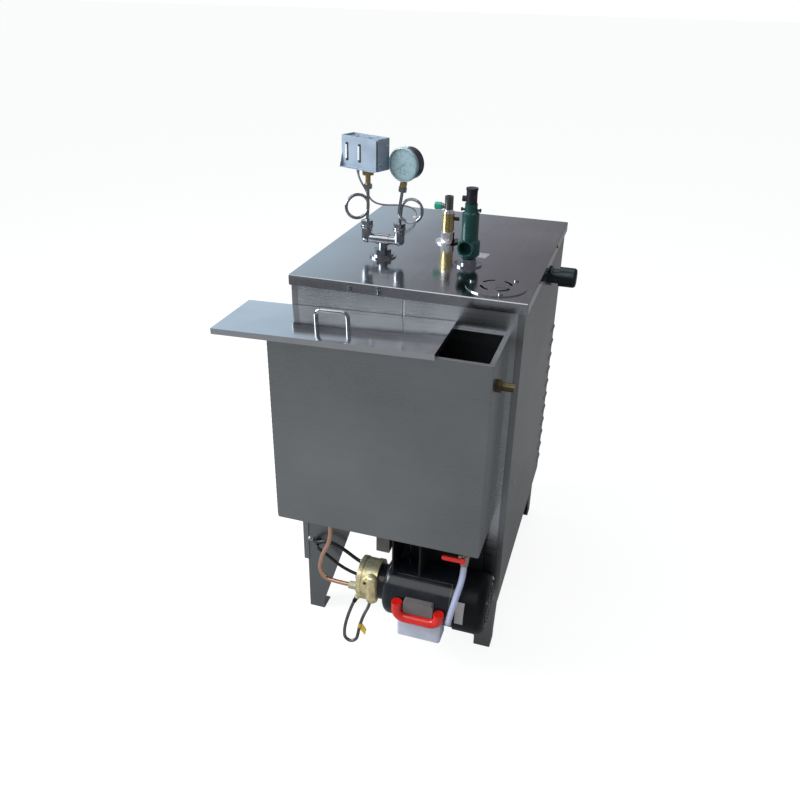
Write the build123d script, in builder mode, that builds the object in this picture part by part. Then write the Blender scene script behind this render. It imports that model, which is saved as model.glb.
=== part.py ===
from build123d import *
import math
import os

os.makedirs("parts", exist_ok=True)

# Cabinet, in millimetres. X runs to the right, Y to the back and Z up from the floor.
cover_width = 450
cover_depth = 560
cover_top = 807
cover_lip = 20
cover_sheet = 1.5
cover_bend = 2
cover_overhang = 4
front_setback = 4
panel_sheet = 1.5
panel_return = 12
skirt_bottom = 137
seat_gap = 0.3

# Legs and the angle frame that they carry
leg_sheet = 2.5
leg_inset = 8
foot_width = 36
foot_straight = 22
gusset_width = 114
sole_thickness = 3
frame_bottom = 250
frame_flange = 25
frame_thickness = 3
floor_sheet = 2

# Louvres on the side panels
louvre_count = 11
louvre_pitch = 36.9
louvre_lowest = 188
louvre_length = 44
louvre_height = 6
louvre_from_rear = 32

# Feed water tank
tank_width = 404
tank_offset = -5
tank_reach = 138
tank_bottom = 355
tank_top = 746
tank_sheet = 1.5
rim_width = 9

# Tank lid, a tray slid to the left and tipped by its own right lip
lid_length = 411
lid_depth = 150
lid_sheet = 1.5
lid_lip = 11
lid_left_reach = 311
lid_front_gap = 7
lid_clearance = 1.2
handle_place = (-104, -84)
handle_rod = 8
handle_span = 60
handle_rise = 30
handle_bend = 11

# Boiler drum under the cover
drum_diameter = 320
drum_wall = 6
drum_bottom = 305
drum_top = 760
drum_y = 265
drum_knuckle = 20
skirt_ring = 280
nozzle_bore = 20
nozzle_outer = 27
nozzle_rise = 3
nozzle_clearance = 1

# Fittings on the cover: places are from the cabinet's middle and the cover's front edge
manifold_place = (-95.5, 169)
steam_place = (1, 310)
safety_place = (77, 175)
hatch_place = (154, 70)
coupling_place = (300, 762)
cable_place = (-116, 472)
escutcheon_diameter = 54
escutcheon_thickness = 3
hatch_diameter = 112
hatch_thickness = 2
hatch_opening = 84
coupling_reach = 278

# Manifold, siphons, switch and gauge
branch_spacing = 67
branch_height = 34
pipe_outer = 18
elbow_outer = 21
elbow_top = 62
siphon_tube = 6
siphon_radius = 22
siphon_pitch = 7.5
siphon_nut = 14
collar_flats = 21
collar_height = 7
siphon_top = 141
left_loop_height = 98
right_loop_height = 96
left_loop_yaw = 215
right_loop_yaw = 0
gauge_lean = 8
switch_height = 170
switch_width = 88
switch_box_height = 58
switch_depth = 34
switch_yaw = -21
switch_offset = 6
switch_plate = 1.2
switch_rim = 4
switch_edge = 3
switch_lip = 9
scale_slots = (-31, 0)
cable_exit_x = -20
scale_slot_height = 32
scale_slot_width = 6
switch_cable_diameter = 4
gauge_diameter = 62
gauge_depth = 28
bezel_step = 1.5
bezel_depth = 7
dial_recess = 3
gauge_yaw = -15
gauge_stem_length = 13

# Steam valve: steel foot, brass body, stem to the left and an open steel outlet
steam_foot_flats = 25
steam_foot_height = 15
steam_body_diameter = 25
steam_body_height = 45
steam_outlet_diameter = 18
steam_outlet_bore = 13
steam_outlet_height = 30
steam_stem_height = 74
steam_stem_reach = 15
knob_flats = 14
knob_length = 15

# Safety valve: heights above its seat on the cover
safety_foot_height = 10
safety_lower_diameter = 42
safety_lower_height = 34
safety_diameter = 33
safety_shoulder = 91
safety_neck_diameter = 24
safety_neck_height = 15
safety_cap_diameter = 21
safety_cap_height = 29
safety_port_diameter = 31
safety_port_bore = 25
safety_port_reach = 25
safety_port_yaw = -5
safety_port_height = 25

# Pump and motor under the tank: the barrel's left end, the shaft's height and what sits on it
motor_left = -1
motor_y = -58
motor_z = 178
motor_diameter = 120
motor_length = 151
motor_edge = 16
cowl_diameter = 126
cowl_length = 62
cowl_edge = 18
adapter_diameter = 74
adapter_length = 16
gland_diameter = 16
gland_length = 22
upper_gland = (48, 168)
lower_gland = (38, 146)
pump_lift = 5
pump_diameter = 84
pump_length = 43
pump_flange = 9
port_drop = 31
port_nut = 15
bracket_left = -17
bracket_width = 92
bracket_depth = 70
bracket_sheet = 3
bracket_block = 27
bracket_block_height = 70

# Connection box, its lid and the carrying handle on the motor's lower front
box_left = 36.5
box_width = 91
box_front = -118
box_depth = 45
box_bottom = 101
box_top = 165
grip_rod = 21
grip_width = 108
grip_height = 58
grip_slope = 8
lid_block_height = 30

# Outlet on the tank's right wall
outlet_place = (-95, 692)

# Drain valve under the tank and its clear hose
drain_x = 165
drain_y = -106
drain_body = 20
drain_drop = 24
drain_length = 48
drain_hose = 13
lever_length = 40
lever_height = 9
lever_sheet = 4

# Braided hose, copper pipe and motor leads
hose_diameter = 7
copper_diameter = 9
upper_lead_diameter = 8
lower_lead_diameter = 7

# The model's origin is under the middle of everything that stands on the floor plan
x0 = (lid_left_reach - coupling_reach) / 2
y0 = (tank_reach + lid_front_gap - cover_depth) / 2
cover_under = cover_top - cover_sheet
panel_top = cover_under - seat_gap
panel_half = cover_width / 2 - cover_overhang
cabinet_rear = cover_depth - cover_overhang
leg_half = panel_half - leg_inset
leg_front = front_setback + panel_sheet + seat_gap
leg_rear = cabinet_rear - panel_sheet - seat_gap
leg_height = frame_bottom + frame_flange
floor_bottom = leg_height
return_inner = panel_half - panel_return


def at(x, y, z=0):
    """A point measured from the cabinet's middle, the cover's front edge and the floor."""
    return (x0 + x, y0 + y, z)


def save(part, name):
    part.label = name
    export_step(part, f"parts/{name}.step")


def tube_along(points, radii, diameter):
    """A round bar or tube skin along straight runs and tangent arcs."""
    with BuildPart() as tube:
        with BuildLine() as path:
            FilletPolyline(*points, radius=radii)
        route = path.wires()[0]
        with BuildSketch(Plane(origin=route @ 0, z_dir=route % 0)):
            Circle(diameter / 2)
        sweep(path=route)
    section = math.pi * diameter**2 / 4
    share = tube.part.volume / (section * route.length)
    print(f"tube of {diameter} mm: {route.length:.0f} mm long, volume share {share:.4f}")
    return tube.part


def corner_radii(points, reach=0.45):
    """Arc radii: a share of the shorter run beside each corner over the half turn's tangent."""
    vectors = [Vector(*point) for point in points]
    radii = []
    for before, corner, after in zip(vectors, vectors[1:], vectors[2:]):
        run_in = corner - before
        run_out = after - corner
        half_turn = math.radians(run_in.get_angle(run_out) / 2)
        radii.append(reach * min(run_in.length, run_out.length) / math.tan(half_turn))
    return radii


def hexagon_prism(plane, across_flats, height):
    """A hexagonal nut or fitting body on a plane."""
    with BuildPart() as prism:
        with BuildSketch(plane):
            RegularPolygon(across_flats / 2, 6, major_radius=False)
        extrude(amount=height)
    return prism.part


# Four pressed legs, each an angle that widens upward from a small sole
def make_leg(name, side, end):
    corner_x = x0 + side * leg_half
    corner_y = y0 + (leg_front if end < 0 else leg_rear)
    to_x = -side
    to_y = -end
    outline = [
        (0, 0),
        (foot_width, 0),
        (foot_width, foot_straight),
        (gusset_width, leg_height),
        (0, leg_height),
    ]
    front_plane = Plane(origin=(corner_x, corner_y, 0), x_dir=(to_x, 0, 0), z_dir=(0, -to_x, 0))
    side_plane = Plane(origin=(corner_x, corner_y, 0), x_dir=(0, to_y, 0), z_dir=(to_y, 0, 0))
    with BuildPart() as leg:
        for plane, direction in ((front_plane, -to_x * to_y), (side_plane, to_x * to_y)):
            with BuildSketch(plane):
                with BuildLine():
                    Polyline(*outline, close=True)
                make_face()
            extrude(amount=leg_sheet * direction)
        with Locations((corner_x + to_x * foot_width / 2, corner_y + to_y * foot_width / 2, 0)):
            Box(foot_width, foot_width, sole_thickness, align=(Align.CENTER, Align.CENTER, Align.MIN))
        outer_edge = leg.edges().filter_by(Axis.Z).sort_by_distance((corner_x, corner_y, leg_height / 2))[0]
        fillet(outer_edge, leg_sheet * 0.8)
    save(leg.part, name)


make_leg("leg_front_left", -1, -1)
make_leg("leg_front_right", 1, -1)
make_leg("leg_rear_left", -1, 1)
make_leg("leg_rear_right", 1, 1)

# Angle frame on the legs and the cabinet floor on it
frame_half = leg_half - leg_sheet
frame_front = leg_front + leg_sheet
frame_rear = leg_rear - leg_sheet
frame_middle = (frame_front + frame_rear) / 2
frame_run = frame_rear - frame_front

with BuildPart() as base_frame:
    with BuildSketch(Plane.XY.offset(frame_bottom)):
        with Locations(at(0, frame_middle)[:2]):
            Rectangle(2 * frame_half, frame_run)
            Rectangle(
                2 * (frame_half - frame_thickness),
                frame_run - 2 * frame_thickness,
                mode=Mode.SUBTRACT,
            )
    extrude(amount=frame_flange)
    with BuildSketch(Plane.XY.offset(frame_bottom + frame_flange)):
        with Locations(at(0, frame_middle)[:2]):
            Rectangle(2 * frame_half, frame_run)
            Rectangle(2 * (frame_half - frame_flange), frame_run - 2 * frame_flange, mode=Mode.SUBTRACT)
    extrude(amount=-frame_thickness)
save(base_frame.part, "base_frame")

with BuildPart() as cabinet_floor:
    with BuildSketch(Plane.XY.offset(floor_bottom)):
        with Locations(at(0, frame_middle)[:2]):
            Rectangle(2 * frame_half, frame_run)
    extrude(amount=floor_sheet)
save(cabinet_floor.part, "cabinet_floor")


# Side panels with returned edges and a column of pressed louvres
def make_side_panel(name, side):
    middle_y = (front_setback + cabinet_rear) / 2
    run = cabinet_rear - front_setback
    louvre_y = cabinet_rear - louvre_from_rear
    louvre_start = louvre_y - louvre_length / 2
    with BuildPart() as panel:
        with BuildSketch(Plane.XY.offset(skirt_bottom)):
            with Locations(at(side * (panel_half - panel_return / 2), middle_y)[:2]):
                Rectangle(panel_return, run)
            with Locations(at(side * (panel_half - panel_sheet - panel_return / 2), middle_y)[:2]):
                Rectangle(panel_return, run - 2 * panel_sheet, mode=Mode.SUBTRACT)
        extrude(amount=panel_top - skirt_bottom)
        for step in range(louvre_count):
            louvre_z = louvre_lowest + step * louvre_pitch
            with Locations(at(side * (panel_half - panel_sheet / 2), louvre_y, louvre_z)):
                Box(3 * panel_sheet, louvre_length, louvre_height, mode=Mode.SUBTRACT)
            hood_plane = Plane(
                origin=at(side * (panel_half - panel_sheet), louvre_start, louvre_z - louvre_height / 2),
                x_dir=(side, 0, 0),
                z_dir=(0, -side, 0),
            )
            with BuildSketch(hood_plane):
                with BuildLine():
                    Line((0, louvre_height), (panel_sheet, louvre_height))
                    Line((panel_sheet, louvre_height), (panel_sheet + 3.5, 0))
                    Line((panel_sheet + 3.5, 0), (panel_sheet + 2.2, 0))
                    Line((panel_sheet + 2.2, 0), (0, louvre_height))
                make_face()
            extrude(amount=-side * louvre_length)
    save(panel.part, name)


make_side_panel("side_panel_left", -1)
make_side_panel("side_panel_right", 1)


# Front and rear sheets seated between the returned edges of the side panels
def make_end_panel(name, outer_y, inward):
    with BuildPart() as panel:
        with BuildSketch(Plane.XY.offset(frame_bottom)):
            with Locations(at(0, outer_y + inward * panel_sheet / 2)[:2]):
                Rectangle(2 * (return_inner - seat_gap), panel_sheet)
        extrude(amount=panel_top - frame_bottom)
    save(panel.part, name)


make_end_panel("front_panel", front_setback, 1)
make_end_panel("rear_panel", cabinet_rear, -1)

# Top cover, a shallow folded tray with holes for the fittings
with BuildPart() as top_cover:
    with Locations(at(0, cover_depth / 2, cover_top)):
        Box(cover_width, cover_depth, cover_lip, align=(Align.CENTER, Align.CENTER, Align.MAX))
    fillet(top_cover.edges().filter_by(Axis.Z), cover_bend)
    fillet(top_cover.faces().sort_by(Axis.Z)[-1].edges(), cover_bend)
    with Locations(at(0, cover_depth / 2, cover_under)):
        Box(
            cover_width - 2 * cover_sheet,
            cover_depth - 2 * cover_sheet,
            cover_lip,
            align=(Align.CENTER, Align.CENTER, Align.MAX),
            mode=Mode.SUBTRACT,
        )
    for place, diameter in (
        (manifold_place, nozzle_outer + 2 * nozzle_clearance),
        (steam_place, nozzle_outer + 2 * nozzle_clearance),
        (safety_place, nozzle_outer + 2 * nozzle_clearance),
        (hatch_place, hatch_opening),
        (cable_place, switch_cable_diameter + 2 * seat_gap),
    ):
        with Locations(at(*place, cover_top)):
            Cylinder(diameter / 2, 4 * cover_sheet, mode=Mode.SUBTRACT)
save(top_cover.part, "top_cover")

# Round plate over the hand hole, with kidney slots and three domed screws
with BuildPart() as hatch_plate:
    with BuildSketch(Plane.XY.offset(cover_top)):
        with Locations(at(*hatch_place)[:2]):
            Circle(hatch_diameter / 2)
            with PolarLocations(0, 4, start_angle=20):
                SlotArc(
                    CenterArc((0, 0), 28, 0, 44, mode=Mode.PRIVATE),
                    5,
                    mode=Mode.SUBTRACT,
                )
    extrude(amount=hatch_thickness)
    with Locations(at(*hatch_place, cover_top + hatch_thickness)):
        with PolarLocations(hatch_diameter / 2 - 9, 3, start_angle=50):
            Cylinder(4.5, 2.6, align=(Align.CENTER, Align.CENTER, Align.MIN))
save(hatch_plate.part, "hatch_plate")

# Boiler drum: a shell with tapered knuckles, a support ring and three nozzles through the cover
def drum_form(inset):
    """The drum's outer form, or the space inside it when it is inset by the wall."""
    with BuildPart() as form:
        with Locations(at(0, drum_y, drum_bottom + inset)):
            Cylinder(
                drum_diameter / 2 - inset,
                drum_top - drum_bottom - 2 * inset,
                align=(Align.CENTER, Align.CENTER, Align.MIN),
            )
        chamfer(form.edges().filter_by(GeomType.CIRCLE), drum_knuckle)
    return form.part


drum_outside = drum_form(0)
drum_inside = drum_form(drum_wall)
with BuildPart() as boiler_drum:
    add(drum_outside)
    with Locations(at(0, drum_y, floor_bottom + floor_sheet)):
        Cylinder(
            skirt_ring / 2,
            drum_bottom + drum_knuckle - floor_bottom - floor_sheet,
            align=(Align.CENTER, Align.CENTER, Align.MIN),
        )
        Cylinder(
            skirt_ring / 2 - drum_wall,
            drum_bottom - floor_bottom - floor_sheet,
            align=(Align.CENTER, Align.CENTER, Align.MIN),
            mode=Mode.SUBTRACT,
        )
    nozzle_top = cover_top + nozzle_rise
    for place in (manifold_place, steam_place, safety_place):
        with Locations(at(*place, drum_top - drum_wall)):
            Cylinder(
                nozzle_outer / 2,
                nozzle_top - drum_top + drum_wall,
                align=(Align.CENTER, Align.CENTER, Align.MIN),
            )
    add(drum_inside, mode=Mode.SUBTRACT)
    for place in (manifold_place, steam_place, safety_place):
        with Locations(at(*place, drum_top - 2 * drum_wall)):
            Cylinder(
                nozzle_bore / 2,
                nozzle_top,
                align=(Align.CENTER, Align.CENTER, Align.MIN),
                mode=Mode.SUBTRACT,
            )
save(boiler_drum.part, "boiler_drum")

# Open feed water tank with an inward rim
tank_rear = front_setback - seat_gap
tank_depth = tank_rear + tank_reach
tank_middle = (tank_rear - tank_reach) / 2
with BuildPart() as tank_shell:
    with Locations(at(tank_offset, tank_middle, tank_bottom)):
        Box(tank_width, tank_depth, tank_top - tank_bottom, align=(Align.CENTER, Align.CENTER, Align.MIN))
    fillet(tank_shell.edges().filter_by(Axis.Z).group_by(Axis.Y)[0], 3)
    with Locations(at(tank_offset, tank_middle, tank_bottom + tank_sheet)):
        Box(
            tank_width - 2 * tank_sheet,
            tank_depth - 2 * tank_sheet,
            tank_top - tank_bottom - 2 * tank_sheet,
            align=(Align.CENTER, Align.CENTER, Align.MIN),
            mode=Mode.SUBTRACT,
        )
    with Locations(at(tank_offset, tank_middle, tank_top - 2 * tank_sheet)):
        Box(
            tank_width - 2 * rim_width,
            tank_depth - 2 * rim_width,
            4 * tank_sheet,
            align=(Align.CENTER, Align.CENTER, Align.MIN),
            mode=Mode.SUBTRACT,
        )
save(tank_shell.part, "tank_shell")

# Lid: its right lip stands on the rim and its sheet rests on the tank's left edge
tank_left = tank_offset - tank_width / 2
lid_rise = lid_lip - lid_sheet
lip_stand = lid_length - lid_left_reach
lid_tilt = math.degrees(math.atan2(lid_rise, lip_stand - tank_left))
lid_rear = front_setback - lid_clearance
lid_front = lid_rear - lid_depth
left_drop = (tank_left + lid_left_reach) * math.tan(math.radians(lid_tilt))
lid_plane = Plane(
    origin=at(-lid_left_reach, lid_front, tank_top + seat_gap - left_drop),
    x_dir=(math.cos(math.radians(lid_tilt)), 0, math.sin(math.radians(lid_tilt))),
    z_dir=(-math.sin(math.radians(lid_tilt)), 0, math.cos(math.radians(lid_tilt))),
)
corner = (Align.MIN, Align.MIN, Align.MIN)
with BuildPart(lid_plane) as tank_lid:
    Box(lid_length, lid_depth, lid_sheet, align=corner)
    with Locations((0, 0, -lid_rise)):
        Box(lid_length, lid_sheet, lid_lip, align=corner)
        Box(lid_sheet, lid_depth, lid_lip, align=corner)
    with Locations((lid_length - lid_sheet, 0, -lid_rise)):
        Box(lid_sheet, lid_depth, lid_lip, align=corner)
save(tank_lid.part, "tank_lid")

handle_x = lid_left_reach + handle_place[0]
handle_y = handle_place[1] - lid_front
handle_points = [
    (handle_x - handle_span / 2, handle_y, lid_sheet + seat_gap),
    (handle_x - handle_span / 2, handle_y, lid_sheet + handle_rise),
    (handle_x + handle_span / 2, handle_y, lid_sheet + handle_rise),
    (handle_x + handle_span / 2, handle_y, lid_sheet + seat_gap),
]
handle_route = [lid_plane.from_local_coords(Vector(*point)) for point in handle_points]
save(tube_along(handle_route, [handle_bend, handle_bend], handle_rod), "lid_handle")


# Manifold: escutcheon, riser, crossbar and two upright ends
branch_z = cover_top + branch_height
with BuildPart() as manifold:
    with BuildSketch(Plane(origin=at(*manifold_place, cover_top))):
        Circle(escutcheon_diameter / 2)
        Circle(nozzle_outer / 2 + seat_gap, mode=Mode.SUBTRACT)
    extrude(amount=escutcheon_thickness)
    with BuildSketch(Plane(origin=at(*manifold_place, cover_top + nozzle_rise))):
        Circle(escutcheon_diameter / 2 - 6)
    extrude(amount=3)
    with BuildSketch(Plane(origin=at(*manifold_place, cover_top + nozzle_rise + 3))):
        RegularPolygon(15, 6, major_radius=False)
    extrude(amount=9)
    with BuildSketch(Plane(origin=at(*manifold_place, cover_top + nozzle_rise + 3))):
        Circle(pipe_outer / 2)
    extrude(amount=branch_height - nozzle_rise - 3)
    with Locations(Location(at(manifold_place[0], manifold_place[1], branch_z), (0, 90, 0))):
        Cylinder(pipe_outer / 2, branch_spacing)
        Cylinder(elbow_outer / 2, 26)
    with Locations(
        at(manifold_place[0] - branch_spacing / 2, manifold_place[1], branch_z),
        at(manifold_place[0] + branch_spacing / 2, manifold_place[1], branch_z),
    ):
        Sphere(elbow_outer / 2)
        Cylinder(elbow_outer / 2, elbow_top - branch_height, align=(Align.CENTER, Align.CENTER, Align.MIN))
save(manifold.part, "manifold")


# Pigtail siphons: each tube rises, makes one full loop beside itself and rises on
def make_siphon(name, side, loop_height, yaw, opening, closing, lean):
    """Return the tube's top end and its direction there.

    opening and closing shift the rising and the returning strand along the loop's plane,
    and lean moves the top end sideways."""
    base = Vector(*at(manifold_place[0] + side * branch_spacing / 2, manifold_place[1], cover_top))
    outward = Vector(math.cos(math.radians(yaw)), math.sin(math.radians(yaw)), 0)
    sideways = Vector(-outward.Y, outward.X, 0)
    forward = sideways * (-1 if sideways.Y > 0 else 1)
    corner_count = 8
    edge = siphon_radius / math.cos(math.pi / corner_count)
    points = [Vector(0, 0, elbow_top + 1)]
    for step in range(corner_count):
        share = step / (corner_count - 1)
        angle = math.pi - (step + 0.5) * 2 * math.pi / corner_count
        along = siphon_radius + edge * math.cos(angle) + opening + (closing - opening) * share
        rise = Vector(0, 0, loop_height + edge * math.sin(angle))
        points.append(outward * along + forward * (siphon_pitch * share) + rise)
    points.append(forward * siphon_pitch + Vector(lean, 0, siphon_top))
    route = [base + point for point in points]
    radii = corner_radii(route, reach=0.485)
    direction = (route[-1] - route[-2]).normalized()
    tube = tube_along(route, radii, siphon_tube)
    collar = hexagon_prism(Plane(origin=base + Vector(0, 0, elbow_top)), collar_flats, collar_height)
    nut_plane = Plane(origin=route[-1] - direction * 9, z_dir=direction)
    save(Part(children=[]) + tube + collar + hexagon_prism(nut_plane, siphon_nut, 9), name)
    return route[-1], direction


switch_foot, _ = make_siphon("siphon_left", -1, left_loop_height, left_loop_yaw, -3, 0, 0)
gauge_foot, gauge_rise = make_siphon("siphon_right", 1, right_loop_height, right_loop_yaw, 4, 0, gauge_lean)

# Pressure switch box on its brass fitting
switch_base = cover_top + switch_height
switch_hexagon = 12
with BuildPart() as switch_fitting:
    with BuildSketch(Plane(origin=switch_foot)):
        Circle(5)
    extrude(amount=switch_base - switch_foot.Z - switch_hexagon)
    with BuildSketch(Plane(origin=(switch_foot.X, switch_foot.Y, switch_base - switch_hexagon))):
        RegularPolygon(10, 6, major_radius=False)
    extrude(amount=switch_hexagon)
save(switch_fitting.part, "switch_fitting")

# The box is an open tray on top, with a front plate that has two slots and a bent lip
switch_turn = math.radians(switch_yaw)
box_right = Vector(math.cos(switch_turn), math.sin(switch_turn), 0)
box_forward = Vector(box_right.Y, -box_right.X, 0)
box_middle = Vector(switch_foot.X, switch_foot.Y, switch_base) - box_right * switch_offset
switch_plane = Plane(origin=box_middle, x_dir=box_right, z_dir=(0, 0, 1))
switch_front = -switch_depth / 2
on_floor = (Align.CENTER, Align.CENTER, Align.MIN)
plate_width = switch_width - switch_edge
cheek_corner = switch_plane.from_local_coords(Vector(-switch_width / 2, switch_front, seat_gap))
with BuildPart(switch_plane) as pressure_switch:
    with Locations((0, 0, seat_gap)):
        Box(switch_width, switch_depth, switch_box_height, align=on_floor)
    with Locations((0, 0, seat_gap + switch_box_height - switch_rim)):
        Box(
            switch_width - 2 * switch_plate,
            switch_depth - 2 * switch_plate,
            switch_rim,
            align=on_floor,
            mode=Mode.SUBTRACT,
        )
    with Locations((-switch_edge / 2, switch_front - switch_plate / 2, seat_gap)):
        Box(plate_width, switch_plate, switch_box_height - switch_edge / 2, align=on_floor)
    with Locations((-switch_edge / 2, switch_front - switch_lip / 2, seat_gap)):
        Box(plate_width, switch_lip, switch_plate, align=on_floor)
    for slot_x in scale_slots:
        with Locations((slot_x, switch_front - switch_plate, switch_box_height / 2)):
            Box(scale_slot_width, 4 * switch_plate + 1, scale_slot_height, mode=Mode.SUBTRACT)
with BuildPart() as switch_cheek:
    with BuildSketch(Plane(origin=cheek_corner, x_dir=box_forward, z_dir=box_right * -1)):
        with BuildLine():
            Polyline((0, 0), (switch_lip, 0), (0, scale_slot_height), close=True)
        make_face()
    extrude(amount=-switch_plate)
save(pressure_switch.part + switch_cheek.part, "pressure_switch")

# Switch cable: it leaves the box's floor and hangs to a hole near the cover's rear edge
cable_exit = switch_plane.from_local_coords(Vector(cable_exit_x, 0, 0))
cable_points = [
    tuple(cable_exit),
    (cable_exit.X, cable_exit.Y, cable_exit.Z - 14),
    at(-148, 187, 945),
    at(-150, 218, 924),
    at(-157, 256, 901),
    at(-163, 298, 880),
    at(-163, 340, 864),
    at(-158, 380, 853),
    at(-148, 415, 846),
    at(-134, 443, 839),
    at(-122, 463, 830),
    at(*cable_place, cover_top + 12),
    at(*cable_place, cover_under),
]
cable_radii = corner_radii(cable_points)
print("switch cable radii", [round(radius) for radius in cable_radii])
save(tube_along(cable_points, cable_radii, switch_cable_diameter), "switch_cable")

# Pressure gauge in line with the leaning siphon: round case with its bezel, and the brass stem
gauge_turn = math.radians(gauge_yaw)
face_normal = Vector(math.sin(gauge_turn), -math.cos(gauge_turn), 0)
gauge_centre = gauge_foot + gauge_rise * (gauge_stem_length + gauge_diameter / 2)
gauge_back = gauge_centre - face_normal * (gauge_depth / 2)
bezel_back = gauge_back + face_normal * (gauge_depth - bezel_depth)
with BuildPart() as gauge_case:
    with BuildSketch(Plane(origin=gauge_back, z_dir=face_normal)):
        Circle(gauge_diameter / 2 - bezel_step)
    extrude(amount=gauge_depth)
    with BuildSketch(Plane(origin=bezel_back, z_dir=face_normal)):
        Circle(gauge_diameter / 2)
    extrude(amount=bezel_depth)
    with BuildSketch(Plane(origin=gauge_back + face_normal * gauge_depth, z_dir=face_normal)):
        Circle(gauge_diameter / 2 - 2 * bezel_step)
    extrude(amount=-dial_recess, mode=Mode.SUBTRACT)
save(gauge_case.part, "gauge_case")

with BuildPart() as gauge_stem:
    with BuildSketch(Plane(origin=gauge_foot, z_dir=gauge_rise)):
        Circle(4)
    extrude(amount=gauge_stem_length + bezel_step - seat_gap)
    with BuildSketch(Plane(origin=gauge_foot + gauge_rise, z_dir=gauge_rise)):
        Rectangle(11, 11)
    extrude(amount=8)
save(gauge_stem.part, "gauge_stem")

# Steam valve: hexagon foot, brass body and open outlet, with a stem to the left
valve_seat = cover_top + nozzle_rise
valve_washer = 3
steam_body_base = valve_seat + valve_washer + steam_foot_height
steam_body_top = steam_body_base + steam_body_height
steam_top = steam_body_top + steam_outlet_height
steam_stem_z = cover_top + steam_stem_height
steam_stem_start = at(steam_place[0] - steam_stem_reach, steam_place[1], steam_stem_z)
with BuildPart() as steam_valve:
    with BuildSketch(Plane(origin=at(*steam_place, cover_top))):
        Circle(steam_foot_flats)
        Circle(nozzle_outer / 2 + seat_gap, mode=Mode.SUBTRACT)
    extrude(amount=escutcheon_thickness)
    with BuildSketch(Plane(origin=at(*steam_place, valve_seat))):
        Circle(steam_foot_flats / 2 + 3)
    extrude(amount=valve_washer)
    with BuildSketch(Plane(origin=at(*steam_place, valve_seat + valve_washer))):
        RegularPolygon(steam_foot_flats / 2, 6, major_radius=False)
    extrude(amount=steam_foot_height)
    with BuildSketch(Plane(origin=at(*steam_place, steam_body_base))):
        Circle(steam_body_diameter / 2 - 1)
    extrude(amount=steam_body_height)
    with BuildSketch(Plane(origin=at(*steam_place, steam_body_base + 4))):
        Circle(steam_body_diameter / 2)
    extrude(amount=steam_body_height - 8)
    with BuildSketch(Plane(origin=at(*steam_place, steam_body_top))):
        Circle(steam_outlet_diameter / 2)
    extrude(amount=steam_outlet_height)
    with BuildSketch(Plane(origin=steam_stem_start, z_dir=(1, 0, 0))):
        Circle(5)
    extrude(amount=steam_stem_reach)
    with BuildSketch(Plane(origin=at(*steam_place, cover_top + 50), z_dir=(1, 0, 0))):
        Circle(4)
    extrude(amount=23)
    with Locations(at(*steam_place, steam_top)):
        Cylinder(
            steam_outlet_bore / 2,
            steam_outlet_height + 10,
            align=(Align.CENTER, Align.CENTER, Align.MAX),
            mode=Mode.SUBTRACT,
        )
save(steam_valve.part, "steam_valve")

# Hexagonal knob on the steam valve's stem
knob_start = at(steam_place[0] - steam_stem_reach - seat_gap, steam_place[1], steam_stem_z)
with BuildPart() as steam_handle:
    with BuildSketch(Plane(origin=knob_start, z_dir=(-1, 0, 0))):
        RegularPolygon(knob_flats / 2, 6, major_radius=False)
    extrude(amount=knob_length)
    fillet(steam_handle.faces().sort_by(Axis.X)[0].edges(), 2)
save(steam_handle.part, "steam_valve_handle")

# Safety valve: hexagon foot, round body with a side outlet, neck and cap
safety_axis = at(*safety_place)
with BuildPart() as safety_foot:
    with BuildSketch(Plane(origin=at(*safety_place, cover_top))):
        Circle(escutcheon_diameter / 2)
        Circle(nozzle_outer / 2 + seat_gap, mode=Mode.SUBTRACT)
    extrude(amount=escutcheon_thickness)
    with BuildSketch(Plane(origin=at(*safety_place, valve_seat))):
        Circle(17)
    extrude(amount=valve_washer)
    with BuildSketch(Plane(origin=at(*safety_place, valve_seat + valve_washer))):
        RegularPolygon(13.5, 6, major_radius=False)
    extrude(amount=safety_foot_height - valve_washer)
save(safety_foot.part, "safety_valve_foot")

safety_base = valve_seat + safety_foot_height
safety_neck_base = safety_base + safety_shoulder
safety_cap_base = safety_neck_base + safety_neck_height
with BuildPart() as safety_body:
    with BuildSketch(Plane(origin=(safety_axis[0], safety_axis[1], 0), x_dir=(1, 0, 0), z_dir=(0, -1, 0))):
        with BuildLine():
            Polyline(
                (0, safety_base),
                (13, safety_base),
                (safety_lower_diameter / 2, safety_base + 8),
                (safety_lower_diameter / 2, safety_base + safety_lower_height),
                (safety_diameter / 2, safety_base + safety_lower_height + 4),
                (safety_diameter / 2, safety_neck_base - 3),
                (safety_neck_diameter / 2, safety_neck_base),
                (safety_neck_diameter / 2, safety_cap_base),
                (0, safety_cap_base),
                close=True,
            )
        make_face()
    revolve(axis=Axis((safety_axis[0], safety_axis[1], 0), (0, 0, 1)))
    port_turn = math.radians(safety_port_yaw)
    port_out = Vector(math.sin(port_turn), -math.cos(port_turn), 0)
    port_centre = Vector(safety_axis[0], safety_axis[1], safety_base + safety_port_height)
    with BuildSketch(Plane(origin=port_centre, z_dir=port_out)):
        Circle(safety_port_diameter / 2)
    extrude(amount=safety_port_reach)
    with BuildSketch(Plane(origin=port_centre, z_dir=port_out)):
        Circle(safety_port_bore / 2)
    extrude(amount=safety_port_reach, mode=Mode.SUBTRACT)
    with Locations(Location((safety_axis[0], safety_axis[1], safety_neck_base + 3), (0, 90, 0))):
        Cylinder(2.5, safety_diameter + 4)
save(safety_body.part, "safety_valve_body")

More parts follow.
